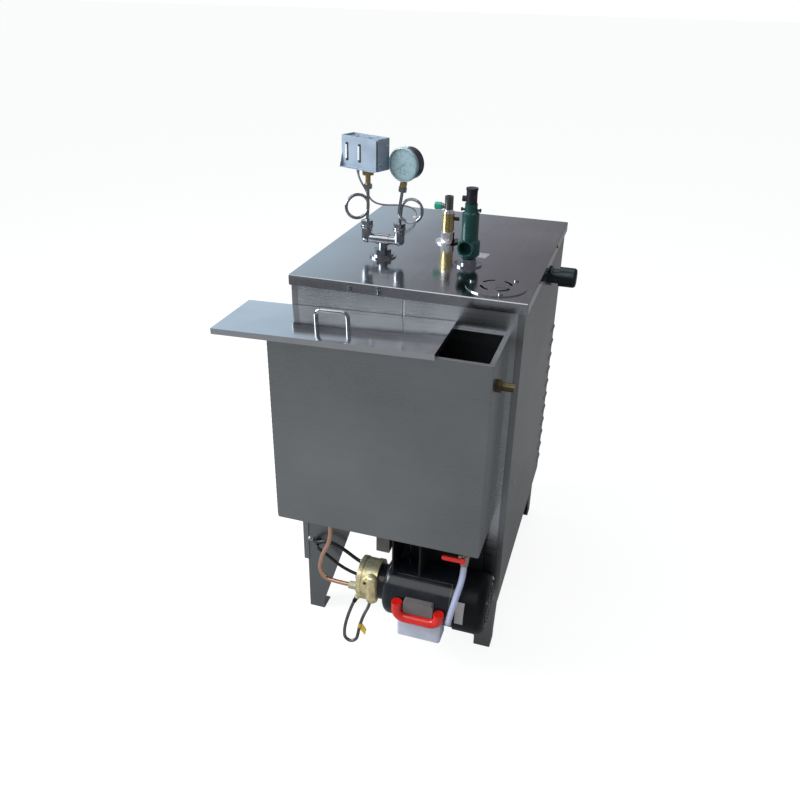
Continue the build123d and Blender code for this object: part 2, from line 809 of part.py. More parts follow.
cap_rim = 4
cap_rim_base = safety_cap_base + safety_cap_height - cap_rim
with BuildPart() as safety_cap:
    with BuildSketch(Plane(origin=(safety_axis[0], safety_axis[1], safety_cap_base))):
        Circle(safety_cap_diameter / 2)
    extrude(amount=safety_cap_height)
    with BuildSketch(Plane(origin=(safety_axis[0], safety_axis[1], cap_rim_base))):
        Circle(safety_cap_diameter / 2 + 1)
    extrude(amount=cap_rim)
    with BuildSketch(Plane(origin=(safety_axis[0], safety_axis[1], safety_cap_base + 8), z_dir=(-1, 0, 0))):
        Circle(5.5)
    extrude(amount=safety_cap_diameter / 2 + 7)
save(safety_cap.part, "safety_valve_cap")

# Side coupling: nut and rounded cap on the right panel
coupling_y, coupling_z = coupling_place
coupling_start = panel_half + seat_gap
coupling_nut = 8
coupling_neck = 14
neck_start = coupling_start + coupling_nut
cap_start = neck_start + coupling_neck
with BuildPart() as side_coupling:
    with BuildSketch(Plane(origin=at(coupling_start, coupling_y, coupling_z), z_dir=(1, 0, 0))):
        RegularPolygon(18, 6, major_radius=False)
    extrude(amount=coupling_nut)
    with BuildSketch(Plane(origin=at(neck_start, coupling_y, coupling_z), z_dir=(1, 0, 0))):
        Circle(15)
    extrude(amount=coupling_neck)
    with BuildSketch(Plane(origin=at(cap_start, coupling_y, coupling_z), z_dir=(1, 0, 0))):
        Circle(20)
    extrude(amount=coupling_reach - cap_start)
    fillet(side_coupling.faces().sort_by(Axis.X)[-1].edges(), 6)
save(side_coupling.part, "side_coupling")

# Brass outlet on the tank's right wall
outlet_start = at(tank_offset + tank_width / 2 + seat_gap, *outlet_place)
with BuildPart() as tank_outlet:
    with BuildSketch(Plane(origin=outlet_start, z_dir=(1, 0, 0))):
        RegularPolygon(11, 6, major_radius=False)
    extrude(amount=9)
    with BuildSketch(Plane(origin=outlet_start, z_dir=(1, 0, 0))):
        Circle(7.5)
    extrude(amount=30)
save(tank_outlet.part, "tank_outlet")

# Motor: rounded drive end, plain barrel and fan cowl, hung from a bracket under the tank
along = (1, 0, 0)
motor_right = motor_left + motor_length
motor_radius = motor_diameter / 2


def on_shaft(x, lift=0):
    """A plane across the motor's shaft at x, facing right."""
    return Plane(origin=at(x, motor_y, motor_z + lift), z_dir=along)


with BuildPart() as motor_body:
    with BuildSketch(on_shaft(motor_left)):
        Circle(motor_radius)
    extrude(amount=motor_length)
    fillet(motor_body.faces().sort_by(Axis.X)[0].edges(), motor_edge)
    with BuildSketch(on_shaft(motor_left)):
        Circle(adapter_diameter / 2)
    extrude(amount=-adapter_length)
    for gland_offset, gland_z in (upper_gland, lower_gland):
        gland_start = at(motor_left - gland_length, motor_y + gland_offset, gland_z)
        with BuildSketch(Plane(origin=gland_start, z_dir=along)):
            Circle(gland_diameter / 2)
        extrude(amount=gland_length + motor_edge)
save(motor_body.part, "motor_body")

with BuildPart() as fan_cowl:
    with BuildSketch(on_shaft(motor_right)):
        Circle(cowl_diameter / 2)
    extrude(amount=cowl_length)
    fillet(fan_cowl.faces().sort_by(Axis.X)[-1].edges(), cowl_edge)
save(fan_cowl.part, "fan_cowl")

bracket_top = tank_bottom - seat_gap
bracket_bottom = motor_z + motor_radius + seat_gap
with BuildPart() as motor_bracket:
    with Locations(at(bracket_left + bracket_width / 2, motor_y, bracket_top)):
        Box(bracket_width, bracket_depth, bracket_sheet, align=(Align.CENTER, Align.CENTER, Align.MAX))
    with Locations(at(bracket_left, motor_y, bracket_top)):
        Box(bracket_block, bracket_depth, bracket_block_height, align=(Align.MIN, Align.CENTER, Align.MAX))
    for wall_x in (bracket_left + 36, bracket_left + bracket_width):
        with Locations(at(wall_x, motor_y, bracket_bottom)):
            Box(
                bracket_sheet,
                bracket_depth,
                bracket_top - bracket_bottom,
                align=(Align.MAX, Align.CENTER, Align.MIN),
            )
save(motor_bracket.part, "motor_bracket")

# Connection box hung on the barrel's lower front, with its grey lid and a moulded handle
barrel_cut = 10
with BuildPart() as motor_box:
    with Locations(at(box_left, box_front, box_bottom)):
        Box(box_width, box_depth, box_top - box_bottom, align=corner)
    fillet(motor_box.edges().filter_by(Axis.Z), 6)
    with BuildSketch(on_shaft(box_left - barrel_cut)):
        Circle(motor_radius + seat_gap)
    extrude(amount=box_width + 2 * barrel_cut, mode=Mode.SUBTRACT)
motor_box_solid = motor_box.part.solids().sort_by(SortBy.VOLUME)[-1]
save(Part(motor_box_solid.wrapped), "motor_box")

grip_left = box_left + (box_width - grip_width) / 2 + grip_rod / 2
grip_right = grip_left + grip_width - grip_rod
grip_plane_y = box_front - seat_gap - grip_rod / 2
grip_low = box_top - 4
grip_rise = grip_height - grip_rod
grip_points = [
    at(grip_left, grip_plane_y, grip_low + grip_rise),
    at(grip_left, grip_plane_y, grip_low),
    at(grip_right, grip_plane_y, grip_low),
    at(grip_right, grip_plane_y, grip_low + grip_rise - grip_slope),
]
save(tube_along(grip_points, [18, 18], grip_rod), "motor_handle")

lid_gap = 2
lid_corner = at(grip_left + grip_rod / 2 + lid_gap, box_front - 10, grip_low + grip_rod / 2 + seat_gap)
with BuildPart() as box_lid:
    with Locations(lid_corner):
        Box(grip_width - 2 * grip_rod - 2 * lid_gap, 14, lid_block_height, align=corner)
    fillet(box_lid.edges().filter_by(Axis.Y), 6)
    with BuildSketch(on_shaft(box_left - barrel_cut)):
        Circle(motor_radius + seat_gap)
    extrude(amount=box_width + 2 * barrel_cut, mode=Mode.SUBTRACT)
save(box_lid.part, "motor_box_lid")

# Brass pump on the motor's drive end: two flanges, a port block, a plug and the pipe ports
pump_right = motor_left - adapter_length - seat_gap
pump_left = pump_right - pump_length
pump_z = motor_z + pump_lift
pump_radius = pump_diameter / 2
port_y = motor_y - 5
port_z = pump_z - port_drop
port_neck = 12
port_left = pump_left - port_neck - port_nut
block_width = 38
block_depth = 34
block_height = 26
block_middle = at(pump_left + 22, motor_y - 8, pump_z - pump_radius + block_height / 2 - 1)
ferrule_start = Vector(*at(pump_left + 8, motor_y - 25, pump_z - 20))
ferrule_way = Vector(-0.45, -0.18, -0.875).normalized()
ferrule_length = 21
hose_foot_x = pump_left + 20
hose_foot_y = motor_y - 6
hose_foot_z = pump_z - pump_radius - 12
with BuildPart() as pump_body:
    with BuildSketch(on_shaft(pump_right, pump_lift)):
        Circle(pump_radius - 1.5)
    extrude(amount=-pump_length)
    for flange_x in (pump_right, pump_left + pump_flange):
        with BuildSketch(on_shaft(flange_x, pump_lift)):
            Circle(pump_radius)
        extrude(amount=-pump_flange)
    with Locations(block_middle):
        Box(block_width, block_depth, block_height)
    with BuildSketch(Plane(origin=at(pump_left - port_neck, port_y, port_z), z_dir=along)):
        Circle(6)
    extrude(amount=port_neck + pump_flange)
    with BuildSketch(Plane(origin=at(port_left, port_y, port_z), z_dir=along)):
        RegularPolygon(port_nut / 2, 6, major_radius=False)
    extrude(amount=port_nut)
    with BuildSketch(Plane(origin=at(pump_left + 21, motor_y, pump_z + 17), z_dir=(0, -1, 0))):
        RegularPolygon(7, 6, major_radius=False)
    extrude(amount=pump_radius + 2)
    with BuildSketch(Plane(origin=ferrule_start, z_dir=ferrule_way)):
        Circle(6)
    extrude(amount=ferrule_length)
    with BuildSketch(Plane(origin=at(hose_foot_x, hose_foot_y, hose_foot_z))):
        Circle(5.5)
    extrude(amount=14)
save(pump_body.part, "pump_body")

# Copper pipe from the tank down to the pump
copper_points = [
    at(-124.3, -70, tank_bottom - seat_gap),
    at(-124.3, -70, 309),
    at(-127, -68, 262),
    at(-147, -66, 218),
    at(-155, -64.5, 180),
    at(-144, -63.5, 155),
    at(-115, port_y, port_z),
    at(port_left - seat_gap, port_y, port_z),
]
copper_radii = corner_radii(copper_points)
print("copper pipe radii", [round(radius) for radius in copper_radii])
save(tube_along(copper_points, copper_radii, copper_diameter), "copper_pipe")

# Braided hose from the pump's front ferrule down in a loop and back up to its foot
hose_start = ferrule_start + ferrule_way * (ferrule_length + seat_gap)
hose_points = [
    tuple(hose_start),
    tuple(hose_start + ferrule_way * 14),
    at(-75.5, -92.5, 110),
    at(-81.5, -95, 88),
    at(-86, -96.5, 66),
    at(-88, -96.5, 47),
    at(-87, -96, 30.5),
    at(-74, -95, 22.5),
    at(-61.5, -93, 30.5),
    at(-58.5, -91, 46),
    at(-56, -88, 66),
    at(-50, -79, 91),
    at(hose_foot_x, hose_foot_y, 112),
    at(hose_foot_x, hose_foot_y, hose_foot_z - seat_gap),
]
hose_radii = corner_radii(hose_points)
print("braided hose radii", [round(radius) for radius in hose_radii])
save(tube_along(hose_points, hose_radii, hose_diameter), "braided_hose")

# Drain valve under the tank, its lever and the clear hose
valve_z = tank_bottom - drain_drop
valve_stem = 8
with BuildPart() as drain_valve:
    with BuildSketch(Plane(origin=at(drain_x, drain_y, tank_bottom - seat_gap), z_dir=(0, 0, -1))):
        Circle(8)
    extrude(amount=drain_length)
    with Locations(at(drain_x, drain_y, valve_z)):
        Box(drain_body, drain_body, drain_body + 2)
    with BuildSketch(Plane(origin=at(drain_x, drain_y, valve_z), z_dir=(0, -1, 0))):
        Circle(4)
    extrude(amount=drain_body / 2 + valve_stem)
save(drain_valve.part, "drain_valve")

lever_pivot = at(drain_x, drain_y - drain_body / 2 - valve_stem - seat_gap, valve_z)
with BuildPart() as drain_lever:
    with BuildSketch(Plane(origin=lever_pivot, x_dir=(1, 0, 0), z_dir=(0, -1, 0))):
        Circle(lever_height / 2 + 2)
        with Locations((-lever_length / 2, 0)):
            SlotOverall(lever_length, lever_height)
    extrude(amount=lever_sheet)
save(drain_lever.part, "drain_valve_lever")

drain_points = [
    at(drain_x, drain_y, tank_bottom - drain_length - 2 * seat_gap),
    at(drain_x, drain_y, 285),
    at(162, -113, 261),
    at(157, -120, 238),
    at(152.5, -126, 214),
    at(148.5, -129, 192),
    at(145.5, -130, 172),
]
drain_radii = corner_radii(drain_points)
print("drain hose radii", [round(radius) for radius in drain_radii])
save(tube_along(drain_points, drain_radii, drain_hose), "drain_hose")

# Motor leads from the cable hole in the left leg, behind the pump, to the drive end's glands
gland_x = motor_left - gland_length - seat_gap
lead_start = leg_front - seat_gap
upper_y = motor_y + upper_gland[0]
lower_y = motor_y + lower_gland[0]
for name, lead_diameter, lead_points in (
    (
        "motor_lead_upper",
        upper_lead_diameter,
        [(-189, lead_start, 198), (-189, -3, 198), (-184, -10, 201), (-173, -13, 207), (-154, -12, 212.5),
         (-122, -9, 198.5), (-86, -8, 173), (-59, upper_y, 167.5), (-41, upper_y, upper_gland[1]),
         (gland_x, upper_y, upper_gland[1])],
    ),
    (
        "motor_lead_lower",
        lower_lead_diameter,
        [(-187, lead_start, 188), (-187, -3, 188), (-183, -9.5, 187), (-174, -12, 183), (-158, -11.5, 173),
         (-131, -9.5, 150), (-97, -9, 136), (-64, -13, 137), (-41, lower_y, lower_gland[1]),
         (gland_x, lower_y, lower_gland[1])],
    ),
):
    placed = [at(*point) for point in lead_points]
    lead_radii = corner_radii(placed)
    print(name, "radii", [round(radius) for radius in lead_radii])
    save(tube_along(placed, lead_radii, lead_diameter), name)
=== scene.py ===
import math

import bmesh
import bpy
from bpy.props import FloatProperty, FloatVectorProperty, IntProperty, PointerProperty
from mathutils import Matrix, Vector


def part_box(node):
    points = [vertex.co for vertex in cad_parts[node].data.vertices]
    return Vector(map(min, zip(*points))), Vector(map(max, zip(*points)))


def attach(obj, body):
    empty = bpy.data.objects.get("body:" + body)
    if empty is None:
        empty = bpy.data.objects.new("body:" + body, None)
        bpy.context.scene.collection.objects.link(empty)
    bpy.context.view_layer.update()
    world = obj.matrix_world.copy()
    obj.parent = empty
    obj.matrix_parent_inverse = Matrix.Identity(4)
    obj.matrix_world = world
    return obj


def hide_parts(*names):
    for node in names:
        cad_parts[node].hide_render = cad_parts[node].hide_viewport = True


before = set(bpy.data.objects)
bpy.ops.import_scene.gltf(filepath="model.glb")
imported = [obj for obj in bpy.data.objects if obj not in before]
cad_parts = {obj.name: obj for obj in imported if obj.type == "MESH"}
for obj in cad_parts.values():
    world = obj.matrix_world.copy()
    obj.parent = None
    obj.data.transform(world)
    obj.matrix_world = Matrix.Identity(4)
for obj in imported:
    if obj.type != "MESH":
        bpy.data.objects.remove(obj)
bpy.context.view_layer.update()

bl_info = {
    "name": "Steam Boiler Dressing",
    "version": (1, 0, 0),
    "blender": (4, 5, 0),
    "location": "View3D > Sidebar > Boiler",
    "description": "Finishes, fasteners, dial, hoses and studio for a small electric steam boiler",
    "category": "Add Mesh",
}

BODY = "boiler"
MM = 0.001
RIGHT, LEFT = (1, 0, 0), (-1, 0, 0)
BACK, AHEAD = (0, 1, 0), (0, -1, 0)
UP = (0, 0, 1)
LOW, HIGH = 0, 1
IN_PLACE = Matrix()

# The cover's middle in X and its front edge in Y: every place below is measured from them
cover_low, cover_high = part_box("top_cover")
ORIGIN = ((cover_low.x + cover_high.x) / 2, cover_low.y, 0.0)


def at(x, y, z):
    """A point given in millimetres from the cover's middle, the cover's front edge and the floor."""
    return Vector((ORIGIN[0] + x * MM, ORIGIN[1] + y * MM, z * MM))


def end_of(node, axis, side):
    """Where a solid ends along an axis, in the same millimetres."""
    return (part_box(node)[side][axis] - ORIGIN[axis]) / MM


COVER_TOP = end_of("top_cover", 2, HIGH)
PANEL_FRONT = end_of("front_panel", 1, LOW)
SIDE_RIGHT = end_of("side_panel_right", 0, HIGH)
LEG_FRONT = end_of("leg_front_left", 1, LOW)
COWL_END = end_of("fan_cowl", 0, HIGH)

# Places and radii in millimetres, and the directions of the gauge and the switch
GAUGE_CENTRE = (-47.6, 161.5, 991.5)
GAUGE_OUT, GAUGE_UP = Vector((-0.2588, -0.9659, 0)), Vector((0.136, -0.0365, 0.989))
SWITCH_FOOT = (-130.3, 165.0, 977)
SWITCH_RIGHT, SWITCH_OUT = Vector((0.9336, -0.3584, 0)), Vector((-0.3584, -0.9336, 0))
HATCH_X, HATCH_Y = 154, 70
BOLT_X, BOLT_Z = 206, 195
MOTOR_Y, MOTOR_Z = -58, 178
BARREL_SKIN, COWL_SKIN = 59.7, 62.8
PUMP_FACE, PUMP_Z = -60.3, 183
BRAID_STEP = 0.7 * MM
# Mouth of the safety valve's outlet in the shared frame, in metres, and the way it faces
OUTLET_MOUTH, OUTLET_WAY = Vector((0.09241, -0.04495, 0.845)), Vector((-0.087156, -0.996195, 0))

# Listed points of each route, the same as the solids' routes
SWITCH_CABLE = [
    (-149.0, 172.2, 977), (-149.0, 172.2, 963), (-148, 187, 945), (-150, 218, 924), (-157, 256, 901),
    (-163, 298, 880), (-163, 340, 864), (-158, 380, 853), (-148, 415, 846), (-134, 443, 839),
    (-122, 463, 830), (-116, 472, 819), (-116, 472, 805.5),
]
BRAIDED_HOSE = [
    (-61.9, -86.8, 144.4), (-68.2, -89.4, 132.1), (-75.5, -92.5, 110), (-81.5, -95, 88), (-86, -96.5, 66),
    (-88, -96.5, 47), (-87, -96, 30.5), (-74, -95, 22.5), (-61.5, -93, 30.5), (-58.5, -91, 46),
    (-56, -88, 66), (-50, -79, 91), (-40.3, -64, 112), (-40.3, -64, 128.7),
]
DRAIN_HOSE = [
    (165, -106, 306.4), (165, -106, 285), (162, -113, 261), (157, -120, 238), (152.5, -126, 214),
    (148.5, -129, 192), (145.5, -130, 172),
]
MOTOR_LEAD_UPPER = [
    (-189, 5.5, 198), (-189, -3, 198), (-184, -10, 201), (-173, -13, 207), (-154, -12, 212.5),
    (-122, -9, 198.5), (-86, -8, 173), (-59, -10, 167.5), (-41, -10, 168), (-23.3, -10, 168),
]
MOTOR_LEAD_LOWER = [
    (-187, 5.5, 188), (-187, -3, 188), (-183, -9.5, 187), (-174, -12, 183), (-158, -11.5, 173),
    (-131, -9.5, 150), (-97, -9, 136), (-64, -13, 137), (-41, -20, 146), (-23.3, -20, 146),
]
# Cords drawn as plain tubes: piece, node and route; diameter in millimetres and length in metres;
# finish, slot and stiffness; the boot's name, length, two widths and finish, and if it is on the far end
PLAIN_CORDS = (
    (
        "grey_cable", "switch_cable", SWITCH_CABLE, 4.0, 0.374,
        "cable_grey", "grey_plastic", "limp",
        ("cable_boot", 16, 3.9, 2.3, "cable_grey"), False,
    ),
    (
        "lead_upper", "motor_lead_upper", MOTOR_LEAD_UPPER, 8.0, 0.190,
        "lead_black", "black_plastic", "medium",
        ("lead_boot_upper", 20, 6.6, 4.4, "black"), True,
    ),
    (
        "lead_lower", "motor_lead_lower", MOTOR_LEAD_LOWER, 7.0, 0.192,
        "lead_black", "black_plastic", "medium",
        ("lead_boot_lower", 20, 6.2, 3.9, "black"), True,
    ),
)

# Lamps: name, place in millimetres, width in metres, power in watts and tint
LAMPS = (
    ("window_lamp", (-1900, -500, 1600), 1.2, 56, (0.90, 0.97, 1.0)),
    ("front_lamp", (-750, -1560, 2800), 2.2, 27, (0.97, 0.99, 1.0)),
    ("top_lamp", (-300, 900, 2500), 1.6, 10, (1.0, 1.0, 1.0)),
)
LAMP_AIM = (0, 200, 500)

# Finish of every carried-over piece
FINISH_OF = {
    # The six steel finishes are lit and shaded copies of one steel: painted light and painted shade.
    "steel_upright": ("rear_panel", "tank_shell"),
    "steel_panel": ("front_panel",),
    "steel_lid": ("tank_lid",),
    "steel_side": ("side_panel_left", "side_panel_right", "cabinet_floor", "boiler_drum"),
    "steel_cover": ("top_cover", "hatch_plate"),
    "steel_leg": ("leg_front_left", "leg_front_right", "leg_rear_left", "leg_rear_right", "base_frame"),
    "bracket_paint": ("motor_bracket",),
    "bright_tube": ("manifold", "siphon_left", "siphon_right", "lid_handle", "safety_valve_foot"),
    "brass": ("switch_fitting", "gauge_stem"),
    "nickel": ("drain_valve",),
    "tarnished": ("tank_outlet",),
    "steam_valve_metal": ("steam_valve",),
    "pump_brass": ("pump_body",),
    "copper": ("copper_pipe",),
    "valve_green": ("safety_valve_body",),
    "handle_green": ("steam_valve_handle",),
    "cap_black": ("safety_valve_cap",),
    "motor_enamel": ("motor_body",),
    "cowl_paint": ("fan_cowl",),
    "red": ("motor_handle", "drain_valve_lever"),
    "white": ("motor_box",),
    # The lid's grey is painted shade on the white box, under the motor.
    "grey": ("motor_box_lid",),
    "case_steel": ("pressure_switch",),
    "gauge_steel": ("gauge_case",),
    "dark_fitting": ("side_coupling",),
}


class BoilerStudio(bpy.types.PropertyGroup):
    """Camera and light."""

    azimuth: FloatProperty(
        name="Azimuth", description="How far the camera stands to the right of the front",
        default=math.radians(16.92), subtype="ANGLE",
    )
    elevation: FloatProperty(
        name="Elevation", description="How far the camera looks down",
        default=math.radians(28.0), subtype="ANGLE",
    )
    roll: FloatProperty(
        name="Roll", description="Turn of the picture", default=math.radians(1.18), subtype="ANGLE",
    )
    lens: FloatProperty(
        name="Lens", description="Focal length on a 36 mm sensor",
        default=35.486, subtype="DISTANCE_CAMERA",
    )
    camera_place: FloatVectorProperty(
        name="Camera", description="Place from the cover's middle and front edge, in millimetres",
        default=(386.98, -1279.45, 1292.72),
    )
    sky: FloatProperty(name="Sky", description="Strength of the soft light all round", default=0.42, min=0)
    shaded: FloatProperty(
        name="Shaded side", description="Brightness that metal finds on the side away from the window",
        default=0.24, min=0, max=1,
    )
    floor_gloss: FloatProperty(
        name="Floor in metal", description="Brightness of the floor that metal finds",
        default=0.13, min=0, max=1,
    )
    floor_half: FloatProperty(
        name="Floor", description="Half the width of the floor", default=40.0, min=1, unit="LENGTH",
    )


class BoilerColours(bpy.types.PropertyGroup):
    """The colours of the finishes."""

    steel: FloatVectorProperty(
        name="Steel", description="Brushed stainless sheet",
        subtype="COLOR", default=(0.36, 0.37, 0.385), min=0, max=1,
    )
    bright_steel: FloatVectorProperty(
        name="Bright steel", description="Polished tube and nuts",
        subtype="COLOR", default=(0.42, 0.44, 0.48), min=0, max=1,
    )
    brass: FloatVectorProperty(
        name="Brass", description="Brass fittings",
        subtype="COLOR", default=(0.55, 0.44, 0.19), min=0, max=1,
    )
    copper: FloatVectorProperty(
        name="Copper", description="Copper pipe",
        subtype="COLOR", default=(0.64, 0.39, 0.30), min=0, max=1,
    )
    teal: FloatVectorProperty(
        name="Valve green", description="Painted safety valve",
        subtype="COLOR", default=(0.004, 0.058, 0.052), min=0, max=1,
    )
    green: FloatVectorProperty(
        name="Handle green", description="Plastic knob of the steam valve",
        subtype="COLOR", default=(0.02, 0.36, 0.24), min=0, max=1,
    )
    red: FloatVectorProperty(
        name="Red", description="Moulded handle and drain lever",
        subtype="COLOR", default=(0.72, 0.014, 0.008), min=0, max=1,
    )
    motor: FloatVectorProperty(
        name="Motor", description="Motor enamel",
        subtype="COLOR", default=(0.006, 0.008, 0.012), min=0, max=1,
    )
    dial: FloatVectorProperty(
        name="Dial", description="Face of the gauge",
        subtype="COLOR", default=(0.21, 0.35, 0.41), min=0, max=1,
    )
    tag: FloatVectorProperty(
        name="Tag", description="Tag on the braided hose",
        subtype="COLOR", default=(0.62, 0.40, 0.03), min=0, max=1,
    )


class BoilerSizes(bpy.types.PropertyGroup):
    """Sizes of the small parts, in millimetres."""

    screw: FloatProperty(
        name="Screw", description="Width of a sheet screw's head", default=7.0, min=3, max=12,
    )
    bolt: FloatProperty(
        name="Leg bolt", description="Width of a leg bolt's head", default=13.0, min=6, max=20,
    )
    strands: IntProperty(
        name="Strands", description="Strands each way round the hose", default=8, min=3, max=24,
    )
    braid_pitch: FloatProperty(
        name="Braid", description="Length of a strand's turn", default=14.0, min=4, max=60,
    )


def studio():
    return bpy.context.scene.boiler_studio


def colours():
    return bpy.context.scene.boiler_colours


def sizes():
    return bpy.context.scene.boiler_sizes


class Nodes:
    """Short calls for building the node tree of a material or of the world."""

    def __init__(self, owner):
        owner.use_nodes = True
        self.owner = owner
        self.tree = owner.node_tree
        self.shader = self.tree.nodes.get("Principled BSDF")
        self.coordinates = self.add("ShaderNodeTexCoord").outputs
        self.place = self.coordinates["Object"]

    def add(self, kind, **values):
        node = self.tree.nodes.new(kind)
        for key, value in values.items():
            setattr(node, key, value)
        return node

    def feed(self, socket, value):
        """Joins an output to a socket, or sets the socket's own number or colour."""
        if hasattr(value, "links"):
            self.tree.links.new(value, socket)
        elif isinstance(value, tuple):
            socket.default_value = (*value, 1)
        else:
            socket.default_value = value

    def put(self, name, value):
        self.feed(self.shader.inputs[name], value)

    def stretched(self, scale):
        """Object coordinates, scaled along each axis."""
        mapping = self.add("ShaderNodeMapping")
        mapping.inputs["Scale"].default_value = scale
        self.feed(mapping.inputs["Vector"], self.place)
        return mapping.outputs["Vector"]

    def noise(self, scale, detail=3.0, vector=None, roughness=0.5):
        node = self.add("ShaderNodeTexNoise")
        node.inputs["Scale"].default_value = scale
        node.inputs["Detail"].default_value = detail
        node.inputs["Roughness"].default_value = roughness
        self.feed(node.inputs["Vector"], vector or self.place)
        return node.outputs["Fac"]

    def along(self, axis):
        """One object coordinate, in metres."""
        parts = self.add("ShaderNodeSeparateXYZ")
        self.feed(parts.inputs[0], self.place)
        return parts.outputs[axis]

    def ramp(self, value, stops, sharp=False):
        node = self.add("ShaderNodeValToRGB")
        if sharp:
            node.color_ramp.interpolation = "CONSTANT"
        elements = node.color_ramp.elements
        for place, _ in stops[1:-1]:
            elements.new(place)
        for element, (place, colour) in zip(elements, stops):
            element.position = place
            element.color = (*colour, 1)
        self.feed(node.inputs["Fac"], value)
        return node.outputs["Color"]

    def span(self, value, low, high, from_low=0.3, from_high=0.7):
        """A value carried from one range to another."""
        node = self.add("ShaderNodeMapRange")
        node.inputs["From Min"].default_value = from_low
        node.inputs["From Max"].default_value = from_high
        node.inputs["To Min"].default_value = low
        node.inputs["To Max"].default_value = high
        self.feed(node.inputs["Value"], value)
        return node.outputs["Result"]

    def maths(self, operation, first, second):
        node = self.add("ShaderNodeMath", operation=operation)
        self.feed(node.inputs[0], first)
        self.feed(node.inputs[1], second)
        return node.outputs[0]

    def blend(self, factor, first, second, kind="MIX"):
        node = self.add("ShaderNodeMix", data_type="RGBA", blend_type=kind)
        for index, value in ((0, factor), (6, first), (7, second)):
            self.feed(node.inputs[index], value)
        return node.outputs[2]

    def bump(self, height, strength, distance):
        node = self.add("ShaderNodeBump")
        node.inputs["Strength"].default_value = strength
        node.inputs["Distance"].default_value = distance
        self.feed(node.inputs["Height"], height)
        self.put("Normal", node.outputs["Normal"])

    def show(self, output, seen, plain, special):
        """Mixes two shaders into the tree's output, the special one for the rays that see it itself."""
        mix = self.add("ShaderNodeMixShader")
        for index, value in ((0, seen), (1, plain), (2, special)):
            self.feed(mix.inputs[index], value)
        self.feed(self.tree.nodes[output].inputs["Surface"], mix.outputs[0])


def surface(name):
    """The nodes of a new material."""
    return Nodes(bpy.data.materials.new(name))


def shade(colour, factor):
    """A colour made lighter or darker."""
    return tuple(min(1.0, channel * factor) for channel in colour)


def brushed_steel(name, colour, along, roughness, smudge=0.10):
    """Sheet with a fine grain along one axis and broad handling smudges."""
    nodes = surface(name)
    fine = [300.0, 300.0, 300.0]
    fine[along] = 3.0
    grain = nodes.noise(1.0, 4.0, nodes.stretched(fine), 0.65)
    broad = nodes.noise(4.0, 4.0, roughness=0.55)
    clouds = nodes.ramp(broad, [(0.25, shade(colour, 0.84)), (0.75, shade(colour, 1.14))])
    streaks = nodes.ramp(grain, [(0.3, (0.94, 0.94, 0.94)), (0.7, (1.0, 1.0, 1.0))])
    nodes.put("Base Color", nodes.blend(1.0, clouds, streaks, "MULTIPLY"))
    nodes.put("Metallic", 1.0)
    uneven = nodes.span(broad, roughness - smudge / 2, roughness + smudge / 2)
    nodes.put("Roughness", nodes.maths("ADD", uneven, nodes.span(grain, -0.03, 0.05)))
    nodes.bump(grain, 0.02, 0.0002)
    return nodes.owner


def machined(name, colour, roughness, wear, tint=None):
    """Turned or cast metal with uneven tarnish."""
    nodes = surface(name)
    patches = nodes.noise(55.0, 5.0, roughness=0.6)
    nodes.put("Base Color", nodes.ramp(patches, [(0.3, tint or shade(colour, 0.62)), (0.68, colour)]))
    nodes.put("Metallic", 1.0)
    nodes.put("Roughness", nodes.span(patches, roughness + wear, roughness - wear / 2))
    nodes.bump(nodes.noise(420.0, 3.0), 0.10, 0.0003)
    return nodes.owner


def enamel(name, colour, roughness, coat, grain, shine):
    """Thick paint with orange peel and light dust."""
    nodes = surface(name)
    dust = nodes.noise(22.0, 5.0, roughness=0.6)
    dusty = tuple(min(1, channel * 1.5 + 0.006) for channel in colour)
    nodes.put("Base Color", nodes.ramp(dust, [(0.35, colour), (0.8, dusty)]))
    nodes.put("Roughness", nodes.span(dust, roughness, roughness + 0.15))
    nodes.put("Coat Weight", coat)
    nodes.put("Coat Roughness", 0.09)
    nodes.put("Specular IOR Level", shine)
    nodes.bump(nodes.noise(300.0, 2.0), grain, 0.0004)
    return nodes.owner


def moulded(name, colour, roughness, coat=0.0, metallic=0.0):
    """Moulded plastic or plated sheet with a faint surface texture."""
    nodes = surface(name)
    nodes.put("Metallic", metallic)
    cloud = nodes.noise(30.0, 3.0)
    nodes.put("Base Color", nodes.ramp(cloud, [(0.3, shade(colour, 0.86)), (0.75, shade(colour, 1.08))]))
    nodes.put("Roughness", nodes.span(cloud, roughness - 0.05, roughness + 0.08))
    nodes.put("Coat Weight", coat)
    nodes.bump(nodes.noise(700.0, 2.0), 0.06, 0.0002)
    return nodes.owner


def steam_valve_metal(name):
    """Chromed hexagon and collar, brass body, grey nipple, in bands up the valve, and a dark spindle."""
    nodes = surface(name)
    chrome = (0.95, 0.95, 0.97)
    brass = shade(tuple(colours().brass), 1.25)
    nipple = (0.22, 0.23, 0.21)
    low, high = 0.800, 0.910
    bands = [(0.0, chrome)]
    for z, tone in ((0.829, brass), (0.868, chrome), (0.876, nipple)):
        bands.append(((z - low) / (high - low), tone))
    tone = nodes.ramp(nodes.span(nodes.along(2), 0.0, 1.0, low, high), bands, sharp=True)
    stains = [(0.3, (0.82, 0.80, 0.78)), (0.7, (1.0, 1.0, 1.0))]
    tarnish = nodes.ramp(nodes.noise(60.0, 5.0, roughness=0.6), stains)
    spindle_side = nodes.maths("GREATER_THAN", nodes.along(0), at(13.2, 0, 0).x)
    valve = nodes.blend(1.0, tone, tarnish, "MULTIPLY")
    nodes.put("Base Color", nodes.blend(spindle_side, valve, (0.030, 0.022, 0.016)))
    nodes.put("Metallic", 1.0)
    nodes.put("Roughness", nodes.span(nodes.noise(55.0, 4.0), 0.20, 0.36))
    nodes.bump(nodes.noise(420.0, 3.0), 0.10, 0.0003)
    return nodes.owner


